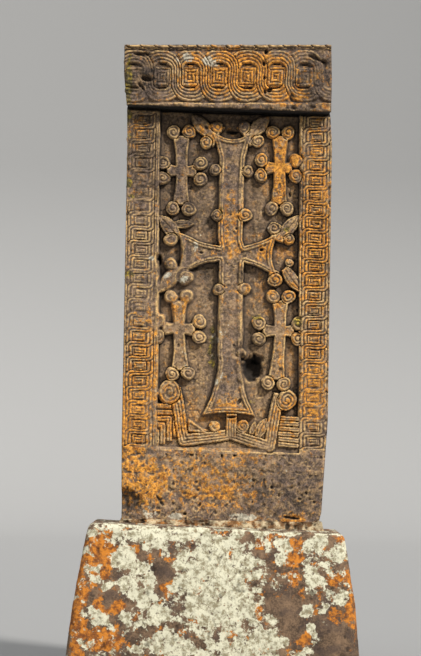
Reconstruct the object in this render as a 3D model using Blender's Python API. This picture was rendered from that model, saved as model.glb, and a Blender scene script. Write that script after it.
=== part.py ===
"""A khachkar: a carved cross-stone, bedded in mortar on a battered stone plinth.

Three pieces, each one closed solid: the slab with its cornice and carving cut
from one stone, the mortar bed that levels it, and the plinth below.  Metres,
+Z up.  The origin is the centre of the plinth's underside, +X is the right of
someone who faces the carving, and the carving looks towards -Y.

The carving is laid out on the slab's face in carving units: across from the
slab's axis, up from its foot.  A unit is about a millimetre on this slab, and it
follows the slab's width and height.  Heights of the relief are in metres, from
the plain border face, positive towards the viewer.
"""

import math
from dataclasses import dataclass

import bmesh
import bpy
import numpy as np
from mathutils import Vector, noise
from mathutils.geometry import delaunay_2d_cdt

# Driving sizes of the slab
SLAB_HEIGHT = 1.883
SLAB_WIDTH = 0.815
SLAB_THICKNESS = 0.24
CORNICE_PROJECTION = 0.060
CORNICE_LEAN = 0.010
ARRIS_WEAR = 0.005
BACK_CHAMFER = 0.014

# Depths of the carving
FIELD_DEPTH = 0.035
CROSS_DEPTH = 0.004
CROSS_PANEL_DEPTH = 0.010
SMALL_CROSS_DEPTH = 0.008
BORDER_GROUND_DEPTH = 0.011
BORDER_STRAND_DEPTH = 0.001
CORNICE_GROUND_DEPTH = 0.012
CORNICE_UNDERSTRAND_DEPTH = 0.005
SLOT_DEPTH = 0.022
BASE_GROUND_DEPTH = 0.016
BASE_BAND_DEPTH = 0.002
FOOT_CHIP_DEPTH = 0.020

# Driving sizes of the mortar bed
BED_THICKNESS = 0.024
BED_FALL = 0.020
BED_OVERLAP = 0.006
BED_SPREAD = 0.012

# Driving sizes of the plinth
PLINTH_HEIGHT = 0.60
LEDGE_LEFT = 0.125
LEDGE_RIGHT = 0.086
LEDGE_FRONT = 0.15
LEDGE_BACK = 0.15
BATTER_LEFT = math.radians(7.7)
BATTER_RIGHT = math.radians(6.7)
BATTER_FRONT = math.radians(7.2)
BATTER_BACK = math.radians(7.2)
PLINTH_SWELL = 1.65
PLINTH_CORNER_RADIUS = 0.035
PLINTH_ARRIS_RADIUS = 0.030
PLINTH_ROUGHNESS = 0.005

CONTACT_GAP = 0.0003

# The layout of the face, in carving units
LAYOUT_WIDTH = 815.0
LAYOUT_HEIGHT = 1883.0
OUTLINE = (
    (-397, 0), (372, 0), (386, 10), (393, 40), (413, 400), (413, 1500), (405, 1625),
    (406, 1760), (401, 1890), (-418, 1876), (-418, 1760), (-406, 1640), (-402, 1500),
    (-402, 300),
)
CORNICE_EDGE_LEFT = 1638
CORNICE_EDGE_RIGHT = 1622
PANEL = ((-262, 286), (302, 270), (292, 900), (284, 1650), (-277, 1650), (-268, 900))
BASE_GROUND = (
    (-300, 250), (340, 250), (340, 330), (262, 345), (225, 430), (150, 390), (80, 352),
    (-20, 352), (-120, 372), (-215, 420), (-300, 420),
)
FOOT_CHIP = ((-420, 128), (-372, 112), (-330, 84), (-322, 44), (-345, 22), (-420, 14))

# The band of knots along the cornice
CORNICE_KNOTS = 6
CORNICE_PITCH = 113.0
CORNICE_FIRST = -268.0
CORNICE_MIDDLE_LEFT = 1745.0
CORNICE_MIDDLE_RIGHT = 1757.0
CORNICE_SQUARE = 39.0
CORNICE_REACH = 72.0
CORNICE_BEND = 45.0
CORNICE_STRAND_WIDTHS = (14.0, 17.0)
CORNICE_RUN = 0.62
CORNICE_CHANNEL = 112.0
CORNICE_SLOT = (21.0, 5.5)

# The band of knots down each border
BORDER_KNOTS = 23
BORDER_TOP = 1616.0
BORDER_FOOT = 288.0
BORDER_SQUARE = (19.0, 25.0)
BORDER_REACH = 36.0
BORDER_STRAND_WIDTHS = (9.5, 8.0, 8.0, 9.5)
BORDER_BAR_CLEARANCE = 3.0
BORDER_AXES = ((-344.0, -336.0), (350.0, 356.0))
BORDER_HALF_WIDTH = 50.0

# The great cross
CROSSING = (19, 1058)
ARM_RIM = 14.0
VOLUTE_RADIUS = 26.0

# The small crosses: crossing, reach up, down, left and right, lean of foot and head
SMALL_CROSSES = (
    ((-183, 1386), 156, 152, 75, 74, -1, -5),
    ((206, 1405), 143, 163, 73, 64, 2, 1),
    ((-183, 756), 129, 177, 83, 81, 7, -5),
    ((219, 754), 137, 209, 85, 71, -14, 0),
)
PAIR_SPREAD = 31.0
DISC_RADIUS = 26.0
SMALL_SHAFT = 19.0


@dataclass
class Form:
    """A raised or sunk shape: its loop in carving units, and its stepped profile."""

    raised: bool
    loop: np.ndarray
    profile: tuple

    def __post_init__(self):
        """Hold the loop as numbers that run counter-clockwise."""
        self.loop = counter_clockwise(self.loop)


# Where the pieces stand
UNIT_ACROSS = SLAB_WIDTH / LAYOUT_WIDTH
UNIT_UP = SLAB_HEIGHT / LAYOUT_HEIGHT
FOOT_LEFT = min(point[0] for point in OUTLINE if point[1] == 0) * UNIT_ACROSS
FOOT_RIGHT = max(point[0] for point in OUTLINE if point[1] < 50) * UNIT_ACROSS
SPREAD_LEFT = PLINTH_HEIGHT * math.tan(BATTER_LEFT)
SPREAD_RIGHT = PLINTH_HEIGHT * math.tan(BATTER_RIGHT)
SPREAD_FRONT = PLINTH_HEIGHT * math.tan(BATTER_FRONT)
SPREAD_BACK = PLINTH_HEIGHT * math.tan(BATTER_BACK)
BASE_WIDTH = SPREAD_LEFT + LEDGE_LEFT + FOOT_RIGHT - FOOT_LEFT + LEDGE_RIGHT + SPREAD_RIGHT
BASE_DEPTH = SPREAD_FRONT + LEDGE_FRONT + SLAB_THICKNESS + LEDGE_BACK + SPREAD_BACK
AXIS_X = -BASE_WIDTH / 2 + SPREAD_LEFT + LEDGE_LEFT - FOOT_LEFT
FACE_Y = -BASE_DEPTH / 2 + SPREAD_FRONT + LEDGE_FRONT
BACK_Y = FACE_Y + SLAB_THICKNESS
SLAB_FOOT_Z = PLINTH_HEIGHT + BED_THICKNESS
BED_SLOPE = BED_FALL / (FOOT_RIGHT - FOOT_LEFT)


def clear_scene():
    """Remove every object that the file opened with."""
    for thing in list(bpy.data.objects):
        bpy.data.objects.remove(thing, do_unlink=True)


def stone(name, colour, roughness):
    """A plain stone material: name, linear colour and roughness."""
    material = bpy.data.materials.new(name)
    material.use_nodes = True
    shader = material.node_tree.nodes["Principled BSDF"]
    shader.inputs["Base Color"].default_value = (*colour, 1.0)
    shader.inputs["Roughness"].default_value = roughness
    shader.inputs["Metallic"].default_value = 0.0
    return material


def add_piece(name, vertices, faces, material, origin):
    """Make one named object from vertices in the model's frame, with its own origin."""
    mesh = bpy.data.meshes.new(name)
    place = Vector(origin)
    mesh.from_pydata([Vector(vertex) - place for vertex in vertices], [], faces)
    mesh.validate()
    mesh.materials.append(material)
    piece = bpy.data.objects.new(name, mesh)
    piece.location = place
    bpy.context.scene.collection.objects.link(piece)
    return piece


def arc(centre, radius, start, end, count):
    """Points along a circular arc, angles in degrees, both ends included."""
    angles = np.radians(np.linspace(start, end, count))
    return np.column_stack((centre[0] + radius * np.cos(angles), centre[1] + radius * np.sin(angles)))


def disc(centre, radius, count=10):
    """A round loop, counter-clockwise."""
    return arc(centre, radius, 0.0, 360.0, count + 1)[:-1]


def rectangle(centre, half_width, half_height):
    """An upright rectangle, counter-clockwise."""
    corners = ((-1, -1), (1, -1), (1, 1), (-1, 1))
    return np.array([(centre[0] + a * half_width, centre[1] + b * half_height) for a, b in corners])


def signed_area(loop):
    """Twice the area of a loop, positive when it runs counter-clockwise."""
    following = np.roll(loop, -1, axis=0)
    return float(np.sum(loop[:, 0] * following[:, 1] - following[:, 0] * loop[:, 1]))


def counter_clockwise(loop):
    """The same loop, turned to run counter-clockwise."""
    loop = np.asarray(loop, dtype=float)
    return loop if signed_area(loop) > 0 else loop[::-1].copy()


def band(path, half_widths):
    """The loop round a path of points, with a half width at each point."""
    path = np.asarray(path, dtype=float)
    tangent = np.gradient(path, axis=0)
    tangent /= np.linalg.norm(tangent, axis=1)[:, None]
    side = np.column_stack((-tangent[:, 1], tangent[:, 0]))
    side *= np.broadcast_to(half_widths, len(path))[:, None]
    return counter_clockwise(np.vstack((path + side, (path - side)[::-1])))


def inset(loop, distance):
    """A loop moved inwards by a distance, with mitred corners."""
    if distance == 0:
        return loop
    edge = np.roll(loop, -1, axis=0) - loop
    edge /= np.linalg.norm(edge, axis=1)[:, None]
    inward = np.column_stack((-edge[:, 1], edge[:, 0]))
    before = np.roll(inward, 1, axis=0)
    mitre = inward + before
    mitre /= np.maximum(np.sum(mitre * inward, axis=1), 0.35)[:, None]
    return loop + mitre * distance


def depth_inside(loop, points):
    """Distance of each point from a loop, positive inside it."""
    start = loop[None, :, :]
    edge = (np.roll(loop, -1, axis=0) - loop)[None, :, :]
    offset = points[:, None, :] - start
    share = np.clip(np.sum(offset * edge, axis=2) / np.sum(edge * edge, axis=2), 0.0, 1.0)
    distance = np.linalg.norm(offset - share[:, :, None] * edge, axis=2).min(axis=1)
    end_y = start[:, :, 1] + edge[:, :, 1]
    crosses = (start[:, :, 1] > points[:, None, 1]) != (end_y > points[:, None, 1])
    with np.errstate(divide="ignore", invalid="ignore"):
        meet = start[:, :, 0] + offset[:, :, 1] * edge[:, :, 0] / edge[:, :, 1]
    inside = np.sum(crosses & (points[:, None, 0] < meet), axis=1) % 2 == 1
    return np.where(inside, distance, -distance)


def knot_square(place, half_along, half_across, ground, crown, groove):
    """A nested square of the knot band, at a place, set square to the band."""
    loop = np.array([(-half_along, -half_across), (half_along, -half_across),
                     (half_along, half_across), (-half_along, half_across)])
    steps = [(0.0, ground), (4.0, crown)]
    if groove is not None:
        steps += [(11.0, crown), (15.0, groove)]
    return Form(True, place(loop), tuple(steps))


def knot_strand(place, run, reach, bend, widths, steps, mirrored, ground, crown):
    """A strand that runs over one square, turns down the gap and runs under the next.

    Its path is a straight, a quarter bend, a straight, a quarter bend the other
    way and a straight; mirrored gives the strand that passes beneath it.
    """
    side = -1.0 if mirrored else 1.0
    upper = arc((-bend, reach - bend), bend, 90.0, 0.0, steps)
    lower = arc((bend, bend - reach), bend, 180.0, 270.0, steps)
    start = (-run, reach)
    finish = (run, -reach)
    path = np.vstack((start, upper, lower, finish)) * (side, 1.0)
    wide = np.full(len(path), float(widths[1]))
    wide[steps] = widths[0]
    wide[steps + 1] = widths[0]
    return Form(True, place(band(path, wide)), ((0.0, ground), (4.0, crown)))


def cornice_line(across):
    """The height up the slab of the middle line of the cornice's knots."""
    share = (across - CORNICE_FIRST) / (CORNICE_PITCH * (CORNICE_KNOTS - 1))
    return CORNICE_MIDDLE_LEFT + share * (CORNICE_MIDDLE_RIGHT - CORNICE_MIDDLE_LEFT)


def cornice_forms():
    """The projecting cornice, its sunk channel, squares, strands and drilled slots."""
    top = max(point[1] for point in OUTLINE) + 40
    far = LAYOUT_WIDTH
    block = ((-far, CORNICE_EDGE_LEFT), (far, CORNICE_EDGE_RIGHT), (far, top), (-far, top))
    crown = CORNICE_PROJECTION
    ground = crown - CORNICE_GROUND_DEPTH
    forms = [Form(True, block, ((0.0, -FIELD_DEPTH), (2.0, crown - 0.004), (8.0, crown)))]
    ends = (-402.0, 390.0)
    lows = [cornice_line(end) - 96.0 for end in ends]
    highs = [cornice_line(end) + CORNICE_CHANNEL - 6.0 for end in ends]
    channel = np.array([(ends[0], lows[0]), (ends[1], lows[1]), (ends[1], highs[1]), (ends[0], highs[0])])
    forms.append(Form(False, channel, ((0.0, crown), (4.0, ground))))
    for index in range(CORNICE_KNOTS):
        across = CORNICE_FIRST + index * CORNICE_PITCH
        centre = np.array((across, cornice_line(across)))
        forms.append(knot_square(lambda loop, c=centre: loop + c, CORNICE_SQUARE, CORNICE_SQUARE,
                                 ground, crown, ground + 0.004))
    for mirrored, level, steps in ((True, crown - CORNICE_UNDERSTRAND_DEPTH, 2), (False, crown, 4)):
        for index in range(CORNICE_KNOTS + 1):
            across = CORNICE_FIRST + (index - 0.5) * CORNICE_PITCH
            centre = np.array((across, cornice_line(across)))
            forms.append(knot_strand(lambda loop, c=centre: loop + c, CORNICE_RUN * CORNICE_PITCH,
                                     CORNICE_REACH, CORNICE_BEND, CORNICE_STRAND_WIDTHS, steps, mirrored,
                                     ground, level))
    for index in range(CORNICE_KNOTS):
        across = CORNICE_FIRST + index * CORNICE_PITCH
        for side in (-1, 1):
            centre = (across + side * 4.0, cornice_line(across) - side * (CORNICE_SQUARE + 7.0))
            loop = rectangle(centre, *CORNICE_SLOT)
            forms.append(Form(False, loop, ((0.0, crown), (3.0, crown - SLOT_DEPTH))))
    return forms


def border_forms(axis_top, axis_foot):
    """One border: a sunk channel, a column of nested squares and the strands round them."""
    ground = -BORDER_GROUND_DEPTH
    crown = -BORDER_STRAND_DEPTH
    channel = (
        (axis_foot - BORDER_HALF_WIDTH, BORDER_FOOT), (axis_foot + BORDER_HALF_WIDTH, BORDER_FOOT),
        (axis_top + BORDER_HALF_WIDTH, BORDER_TOP), (axis_top - BORDER_HALF_WIDTH, BORDER_TOP),
    )
    forms = [Form(False, channel, ((0.0, 0.0), (4.0, ground)))]
    pitch = (BORDER_TOP - BORDER_FOOT) / BORDER_KNOTS
    half_gap = pitch / 2 - BORDER_SQUARE[0] - BORDER_BAR_CLEARANCE
    weave = ((-0.46 * pitch, BORDER_REACH), (-half_gap, BORDER_REACH * 0.8),
             (half_gap, -BORDER_REACH * 0.8), (0.46 * pitch, -BORDER_REACH))

    def placer(along):
        share = along / (BORDER_TOP - BORDER_FOOT)
        middle = axis_top + (axis_foot - axis_top) * share
        return lambda loop: np.column_stack((middle + loop[:, 1], BORDER_TOP - along - loop[:, 0]))

    for index in range(BORDER_KNOTS):
        along = (index + 0.5) * pitch
        forms.append(knot_square(placer(along), BORDER_SQUARE[0], BORDER_SQUARE[1], ground, crown, None))
    for index in range(BORDER_KNOTS - 1):
        along = (index + 1) * pitch
        loop = placer(along)(band(weave, BORDER_STRAND_WIDTHS))
        forms.append(Form(True, loop, ((0.0, ground), (4.0, crown))))
    return forms


def flared_cross(centre, arms):
    """The loop of a cross, from its right arm round: each arm is an angle, its
    stations of distance and half width, a shift aside, and the hollow of its end."""
    parts = []
    for angle, stations, shift, hollow, end_count in arms:
        stations = np.asarray(stations, dtype=float)
        reach, wide = stations[-1]
        ends = np.linspace(-1.0, 1.0, end_count + 2)[1:-1]
        end = np.column_stack((reach - hollow * (1.0 - ends ** 2), ends * wide))
        outward = stations * (1.0, -1.0)
        inward = stations[::-1]
        turn = math.radians(angle)
        spin = np.array(((math.cos(turn), math.sin(turn)), (-math.sin(turn), math.cos(turn))))
        parts.append((np.vstack((outward, end, inward)) + (0.0, shift)) @ spin)
    return np.vstack(parts) + np.asarray(centre, dtype=float)


def leaf(base, tip, half_width):
    """A pointed leaf from the middle of its base to its tip."""
    base = np.asarray(base, dtype=float)
    tip = np.asarray(tip, dtype=float)
    path = np.array([base + (tip - base) * share for share in (0.0, 0.35, 0.7, 1.0)])
    return band(path, np.array((0.55, 1.0, 0.75, 0.08)) * half_width)


def great_cross_forms():
    """The great cross: four flared arms with raised rims, volutes, hooks and leaves."""
    field = -FIELD_DEPTH
    crown = -CROSS_DEPTH
    panel = -CROSS_PANEL_DEPTH
    rimmed = ((0.0, field), (3.0, crown), (ARM_RIM, crown), (ARM_RIM + 4.0, panel))
    plain = ((0.0, field), (4.0, crown))
    coiled = ((0.0, field), (4.0, crown), (13.0, panel - 0.004))
    arms = (
        (0.0, ((52, 27), (100, 44), (148, 66), (190, 88)), 0.0, 26.0, 3),
        (90.0, ((340, 50), (412, 60), (470, 78), (516, 104)), 4.0, 56.0, 5),
        (180.0, ((48, 26), (110, 40), (165, 64), (214, 88)), 0.0, 26.0, 3),
        (270.0, ((355, 50), (436, 33), (524, 50), (584, 66), (646, 94)), 8.0, 14.0, 3),
    )
    forms = [Form(True, flared_cross(CROSSING, arms), rimmed)]
    volutes = ((-46, 1563), (62, 1565), (-90, 1503), (118, 1511), (188, 1163), (196, 958),
               (-221, 1112), (-220, 1012), (-160, 962), (248, 1119))
    hooks = ((-50, 1391), (78, 1389), (-40, 1212), (72, 1215), (-29, 915), (74, 921), (66, 665))
    leaves = (
        ((-84, 1544), (-146, 1612), 22), ((98, 1552), (158, 1610), 22), ((232, 1150), (286, 1214), 20),
        ((240, 990), (300, 908), 20), ((-206, 1140), (-268, 1204), 22), ((-192, 1173), (-134, 1174), 14),
        ((-192, 984), (-272, 898), 22),
    )
    forms += [Form(True, disc(centre, VOLUTE_RADIUS, 8), coiled) for centre in volutes]
    forms += [Form(True, disc(centre, VOLUTE_RADIUS - 3.0, 7), plain) for centre in hooks]
    forms += [Form(True, leaf(*spec), plain) for spec in leaves]
    return forms


def small_cross_forms(crossing, up, down, left, right, foot_lean, head_lean):
    """A small cross: four arms that widen to a pair of coiled discs each."""
    field = -FIELD_DEPTH
    crown = -SMALL_CROSS_DEPTH
    low = -SMALL_CROSS_DEPTH - 0.007
    plain = ((0.0, field), (4.0, crown))
    coiled = ((0.0, field), (4.0, crown), (12.0, low))
    reaches = ((0.0, right, 0), (90.0, up, -head_lean), (180.0, left, 0), (270.0, down, foot_lean))
    arms = []
    forms = []
    for angle, reach, lean in reaches:
        upright = angle in (90.0, 270.0)
        wide = SMALL_SHAFT if upright else SMALL_SHAFT - 3.0
        swung = angle + math.degrees(math.atan2(lean, reach))
        stations = [(reach * 0.45, wide), (reach - 12, wide + 12)]
        if not upright:
            stations.insert(0, (SMALL_SHAFT, wide))
        arms.append((swung, stations, 0.0, 0.0, 0))
        turn = math.radians(swung)
        ahead = np.array((math.cos(turn), math.sin(turn)))
        aside = np.array((-math.sin(turn), math.cos(turn)))
        for side in (-1.0, 1.0):
            centre = np.asarray(crossing) + ahead * reach + aside * side * PAIR_SPREAD
            forms.append(Form(True, disc(centre, DISC_RADIUS, 7), coiled))
    return [Form(True, flared_cross(crossing, arms), plain), *forms]


def base_forms():
    """The ornament under the great cross: a stem, two bands that rise to coils, and leaves."""
    ground = -BASE_GROUND_DEPTH
    crown = -BASE_BAND_DEPTH
    low = -BASE_BAND_DEPTH - 0.008
    plain = ((0.0, ground), (4.0, crown))
    coiled = ((0.0, -FIELD_DEPTH), (4.0, crown), (12.0, crown), (16.0, low))
    forms = [Form(False, PANEL, ((0.0, 0.0), (4.0, -FIELD_DEPTH)))]
    forms.append(Form(True, BASE_GROUND, ((0.0, -FIELD_DEPTH), (5.0, ground))))
    stem = ((31, 412), (31, 330))
    left_band = ((40, 338), (-60, 322), (-145, 312), (-166, 340), (-180, 420), (-186, 500))
    right_band = ((22, 338), (100, 322), (186, 296), (196, 330), (210, 420), (218, 490))
    for path, half_width in ((stem, 18.0), (left_band, 17.0), (right_band, 17.0)):
        forms.append(Form(True, band(path, half_width), ((0.0, -FIELD_DEPTH), (4.0, crown))))
    for centre, radius in (((-217, 504), 44.0), ((250, 481), 38.0)):
        forms.append(Form(True, disc(centre, radius, 12), coiled))
    forms.append(Form(True, disc((-34, 370), 22, 8), plain))
    forms.append(Form(True, disc((78, 373), 24, 8), plain))
    forms.append(Form(True, ((-138, 398), (-140, 348), (-54, 344)), plain))
    forms.append(Form(True, leaf((150, 338), (176, 404), 20), plain))
    for step in range(3):
        corner = np.array((-200.0 - 25.0 * step, 318.0 + 22.0 * step))
        path = (corner + (0, 100.0 - 18.0 * step), corner, corner - (58.0 - 18.0 * step, 0))
        forms.append(Form(True, band(path, 6.5), ((0.0, ground), (3.0, crown))))
    for step in range(4):
        forms.append(Form(True, rectangle((254, 322 + 20 * step), 20, 6), ((0.0, ground), (3.0, crown))))
    return forms


def face_forms():
    """Every form of the slab's face, in the order in which they are cut."""
    forms = base_forms()
    forms += great_cross_forms()
    for cross in SMALL_CROSSES:
        forms += small_cross_forms(*cross)
    for axes in BORDER_AXES:
        forms += border_forms(*axes)
    forms.append(Form(False, FOOT_CHIP, ((0.0, 0.0), (14.0, -FOOT_CHIP_DEPTH))))
    forms += cornice_forms()
    return forms


def relief(forms, outline, points):
    """The relief's height at each point: each form raises or sinks what lies inside it."""
    height = np.zeros(len(points))
    for form in forms:
        reach = form.loop.min(axis=0) - 1.0, form.loop.max(axis=0) + 1.0
        near = np.all((points >= reach[0]) & (points <= reach[1]), axis=1)
        if not near.any():
            continue
        inside = depth_inside(form.loop, points[near])
        insets, levels = zip(*form.profile)
        level = np.interp(inside, insets, levels)
        held = height[near]
        shaped = np.maximum(held, level) if form.raised else np.minimum(held, level)
        height[near] = np.where(inside > -1e-4, shaped, held)
    lean = np.clip((points[:, 1] - CORNICE_EDGE_LEFT) / (LAYOUT_HEIGHT - CORNICE_EDGE_LEFT), 0.0, 1.0)
    height += CORNICE_LEAN * lean
    edge = np.clip(depth_inside(outline, points) / 8.0, 0.0, 1.0)
    return height - ARRIS_WEAR * (1.0 - edge)


def face_mesh(forms, outline):
    """Triangles of the face with every crease of every form as an edge of the mesh."""
    loops = [outline, inset(outline, 8.0)]
    for form in forms:
        loops += [inset(form.loop, distance) for distance, _ in form.profile]
    points = []
    edges = []
    for loop in loops:
        first = len(points)
        points += [Vector((float(a), float(b))) for a, b in loop]
        edges += [(first + i, first + (i + 1) % len(loop)) for i in range(len(loop))]
    found = delaunay_2d_cdt(points, edges, [], 0, 0.4)
    flat = np.array([tuple(point) for point in found[0]])
    triangles = np.array([tuple(face) for face in found[2]])
    corners = flat[triangles]
    first = corners[:, 1] - corners[:, 0]
    second = corners[:, 2] - corners[:, 0]
    area = first[:, 0] * second[:, 1] - first[:, 1] * second[:, 0]
    centres = corners.mean(axis=1)
    kept = (depth_inside(outline, centres) > 0.0) & (np.abs(area) > 1e-3)
    triangles = triangles[kept]
    turned = area[kept] < 0
    triangles[turned] = triangles[turned][:, ::-1]
    used, renumbered = np.unique(triangles, return_inverse=True)
    return flat[used], renumbered.reshape(triangles.shape)


def boundary_loop(triangles):
    """The outer edge of a sheet of triangles, as vertex numbers in order."""
    directed = {(int(a), int(b)) for face in triangles for a, b in zip(face, np.roll(face, -1))}
    following = {a: b for a, b in directed if (b, a) not in directed}
    start = min(following)
    loop = [start]
    while following[loop[-1]] != start:
        loop.append(following[loop[-1]])
    return loop


def build_slab():
    """The slab: the carved face, closed by its sides, a chamfered back and its underside."""
    outline = counter_clockwise(OUTLINE)
    forms = face_forms()
    flat, triangles = face_mesh(forms, outline)
    height = relief(forms, outline, flat)

    def placed(points, y):
        across = AXIS_X + points[:, 0] * UNIT_ACROSS
        up = SLAB_FOOT_Z + points[:, 1] * UNIT_UP
        return np.column_stack((across, y, up))

    rim = boundary_loop(triangles)
    edge = flat[rim]
    drawn_in = edge * (1.0 - BACK_CHAMFER / (0.5 * SLAB_WIDTH), 1.0 - BACK_CHAMFER / SLAB_HEIGHT)
    front = placed(flat, FACE_Y - height)
    side = placed(edge, np.full(len(rim), BACK_Y - BACK_CHAMFER))
    back = placed(drawn_in, np.full(len(rim), BACK_Y))
    vertices = np.vstack((front, side, back))
    faces = [tuple(int(i) for i in face) for face in triangles]
    side_first = len(front)
    back_first = side_first + len(rim)
    for i in range(len(rim)):
        j = (i + 1) % len(rim)
        faces += [(rim[j], rim[i], side_first + i), (rim[j], side_first + i, side_first + j)]
        faces.append((side_first + j, side_first + i, back_first + i))
        faces.append((side_first + j, back_first + i, back_first + j))
    faces.append(tuple(back_first + i for i in reversed(range(len(rim)))))
    material = stone("carved_stone", (0.20, 0.14, 0.09), 0.9)
    piece = add_piece("carved_slab", vertices, faces, material, (AXIS_X, (FACE_Y + BACK_Y) / 2, SLAB_FOOT_Z))
    triangulate(piece)
    return piece


def plinth_top(x):
    """The height of the plinth's top, which falls towards the right, under the bed."""
    return PLINTH_HEIGHT - BED_SLOPE * (x - AXIS_X)


def closed_rings(rings):
    """Faces that join rings of equal length into a closed solid with fanned ends."""
    count = len(rings[0])
    vertices = np.vstack(rings)
    faces = []
    for level in range(len(rings) - 1):
        for i in range(count):
            j = (i + 1) % count
            low, high = level * count, (level + 1) * count
            faces.append((low + i, low + j, high + j, high + i))
    faces.append(tuple(reversed(range(count))))
    faces.append(tuple((len(rings) - 1) * count + i for i in range(count)))
    return vertices, faces


def build_mortar_bed():
    """The mortar bed: a wedge that levels the slab, squeezed out a little all round."""
    count_long = 18
    count_short = 6
    left = AXIS_X + FOOT_LEFT - BED_OVERLAP
    right = AXIS_X + FOOT_RIGHT + BED_OVERLAP
    front = FACE_Y - BED_OVERLAP
    back = BACK_Y + BED_OVERLAP
    xs = np.linspace(left, right, count_long)
    ys = np.linspace(front, back, count_short)
    ring = [(x, front) for x in xs[:-1]] + [(right, y) for y in ys[:-1]]
    ring += [(x, back) for x in xs[:0:-1]] + [(left, y) for y in ys[:0:-1]]
    ring = np.array(ring)
    middle = np.array(((left + right) / 2, (front + back) / 2))
    half_sides = np.array((right - left, back - front)) / 2
    outward = np.sign(ring - middle) * np.isclose(np.abs(ring - middle), half_sides)
    ripple = np.array([0.5 + 0.5 * noise.noise(Vector((x * 14.0, y * 14.0, 3.0))) for x, y in ring])
    low = ring + outward * (BED_SPREAD * (0.4 + ripple))[:, None]
    high = ring + outward * (BED_OVERLAP * 0.5 * ripple)[:, None]
    rings = [
        np.column_stack((low, plinth_top(low[:, 0]) + CONTACT_GAP)),
        np.column_stack((high, np.full(len(high), SLAB_FOOT_Z - CONTACT_GAP))),
    ]
    vertices, faces = closed_rings(rings)
    material = stone("mortar", (0.42, 0.38, 0.30), 0.95)
    origin = (AXIS_X, (FACE_Y + BACK_Y) / 2, PLINTH_HEIGHT)
    piece = add_piece("mortar_bed", vertices, faces, material, origin)
    triangulate(piece)
    return piece


def rounded_ring(left, right, front, back, radius, straight, corner):
    """A rounded rectangle, counter-clockwise from above, with set numbers of points."""
    centres = ((right - radius, front + radius, -90.0), (right - radius, back - radius, 0.0),
               (left + radius, back - radius, 90.0), (left + radius, front + radius, 180.0))
    corners = [arc((x, y), radius, start, start + 90.0, corner) for x, y, start in centres]
    points = []
    for index, here in enumerate(corners):
        following = corners[(index + 1) % 4]
        run = np.linspace(here[-1], following[0], straight + 2)[1:-1]
        points += [here, run]
    return np.vstack(points)


def build_plinth():
    """The plinth: a block whose sides lean in more towards its worn arrises, with a rough surface."""
    half = BASE_WIDTH / 2
    deep = BASE_DEPTH / 2
    arris = PLINTH_ARRIS_RADIUS
    levels = [(share * (PLINTH_HEIGHT - 1.3 * arris), 0.0) for share in (0.0, 0.25, 0.5, 0.75, 1.0)]
    levels += [(PLINTH_HEIGHT - arris * (1 - math.sin(math.radians(angle))),
                arris * (1 - math.cos(math.radians(angle)))) for angle in (30.0, 60.0, 90.0)]
    rings = []
    for height, drawn in levels:
        share = height / PLINTH_HEIGHT
        lean = share ** PLINTH_SWELL
        ring = rounded_ring(-half + SPREAD_LEFT * lean + drawn, half - SPREAD_RIGHT * lean - drawn,
                            -deep + SPREAD_FRONT * lean + drawn, deep - SPREAD_BACK * lean - drawn,
                            PLINTH_CORNER_RADIUS, 6, 3)
        rough = np.array([noise.noise(Vector((x * 7.0, y * 7.0, height * 9.0))) for x, y in ring])
        keep = 0.0 if height == 0.0 else 1.0
        middle = ring.mean(axis=0)
        outward = (ring - middle) / np.linalg.norm(ring - middle, axis=1)[:, None]
        ring = ring - outward * (keep * PLINTH_ROUGHNESS * (0.6 + rough))[:, None]
        lift = BED_SLOPE * (AXIS_X - ring[:, 0]) * share
        rings.append(np.column_stack((ring, height + lift)))
    vertices, faces = closed_rings(rings)
    material = stone("plinth_stone", (0.40, 0.34, 0.22), 0.95)
    piece = add_piece("plinth", vertices, faces, material, (0.0, 0.0, 0.0))
    triangulate(piece)
    return piece


def triangulate(piece):
    """Split a piece's faces into triangles, so that a plane face stays plane."""
    shape = bmesh.new()
    shape.from_mesh(piece.data)
    bmesh.ops.triangulate(shape, faces=shape.faces[:], quad_method="BEAUTY", ngon_method="BEAUTY")
    bmesh.ops.recalc_face_normals(shape, faces=shape.faces[:])
    shape.to_mesh(piece.data)
    shape.free()


def main():
    """Build the three pieces from the ground up."""
    clear_scene()
    build_plinth()
    build_mortar_bed()
    build_slab()


main()
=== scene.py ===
"""The looks of a khachkar: weathered carving, crumbled mortar and a lichened plinth.

Every stone is a closed skin worked out with numpy round the solid that it stands
for.  The carving is laid out on the slab's face in millimetres, across from the
slab's axis and up from its foot, and its heights are measured from the plain
border face, positive towards the viewer.
"""

import logging
import math
from dataclasses import dataclass, field
from enum import Enum
from typing import Callable, Sequence

import bpy
import numpy as np
from mathutils import Matrix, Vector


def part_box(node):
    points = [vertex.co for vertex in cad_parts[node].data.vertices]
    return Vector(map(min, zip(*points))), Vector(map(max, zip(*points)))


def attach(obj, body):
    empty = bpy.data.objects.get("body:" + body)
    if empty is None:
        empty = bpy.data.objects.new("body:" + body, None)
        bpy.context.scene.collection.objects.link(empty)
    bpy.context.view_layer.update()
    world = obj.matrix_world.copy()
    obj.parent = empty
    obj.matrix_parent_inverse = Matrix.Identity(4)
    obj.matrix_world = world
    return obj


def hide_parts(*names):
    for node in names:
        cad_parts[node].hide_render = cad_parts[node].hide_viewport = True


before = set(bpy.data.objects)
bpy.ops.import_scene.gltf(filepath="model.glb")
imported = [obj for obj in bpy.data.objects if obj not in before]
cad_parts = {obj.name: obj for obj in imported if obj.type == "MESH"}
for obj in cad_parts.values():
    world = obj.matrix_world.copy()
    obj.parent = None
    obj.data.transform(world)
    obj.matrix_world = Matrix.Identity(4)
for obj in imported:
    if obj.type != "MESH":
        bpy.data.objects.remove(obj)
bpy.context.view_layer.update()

LOG = logging.getLogger("khachkar")
Array = np.ndarray
MM = 0.001
PRIMES = (73856093, 19349663, 83492791)


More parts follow.
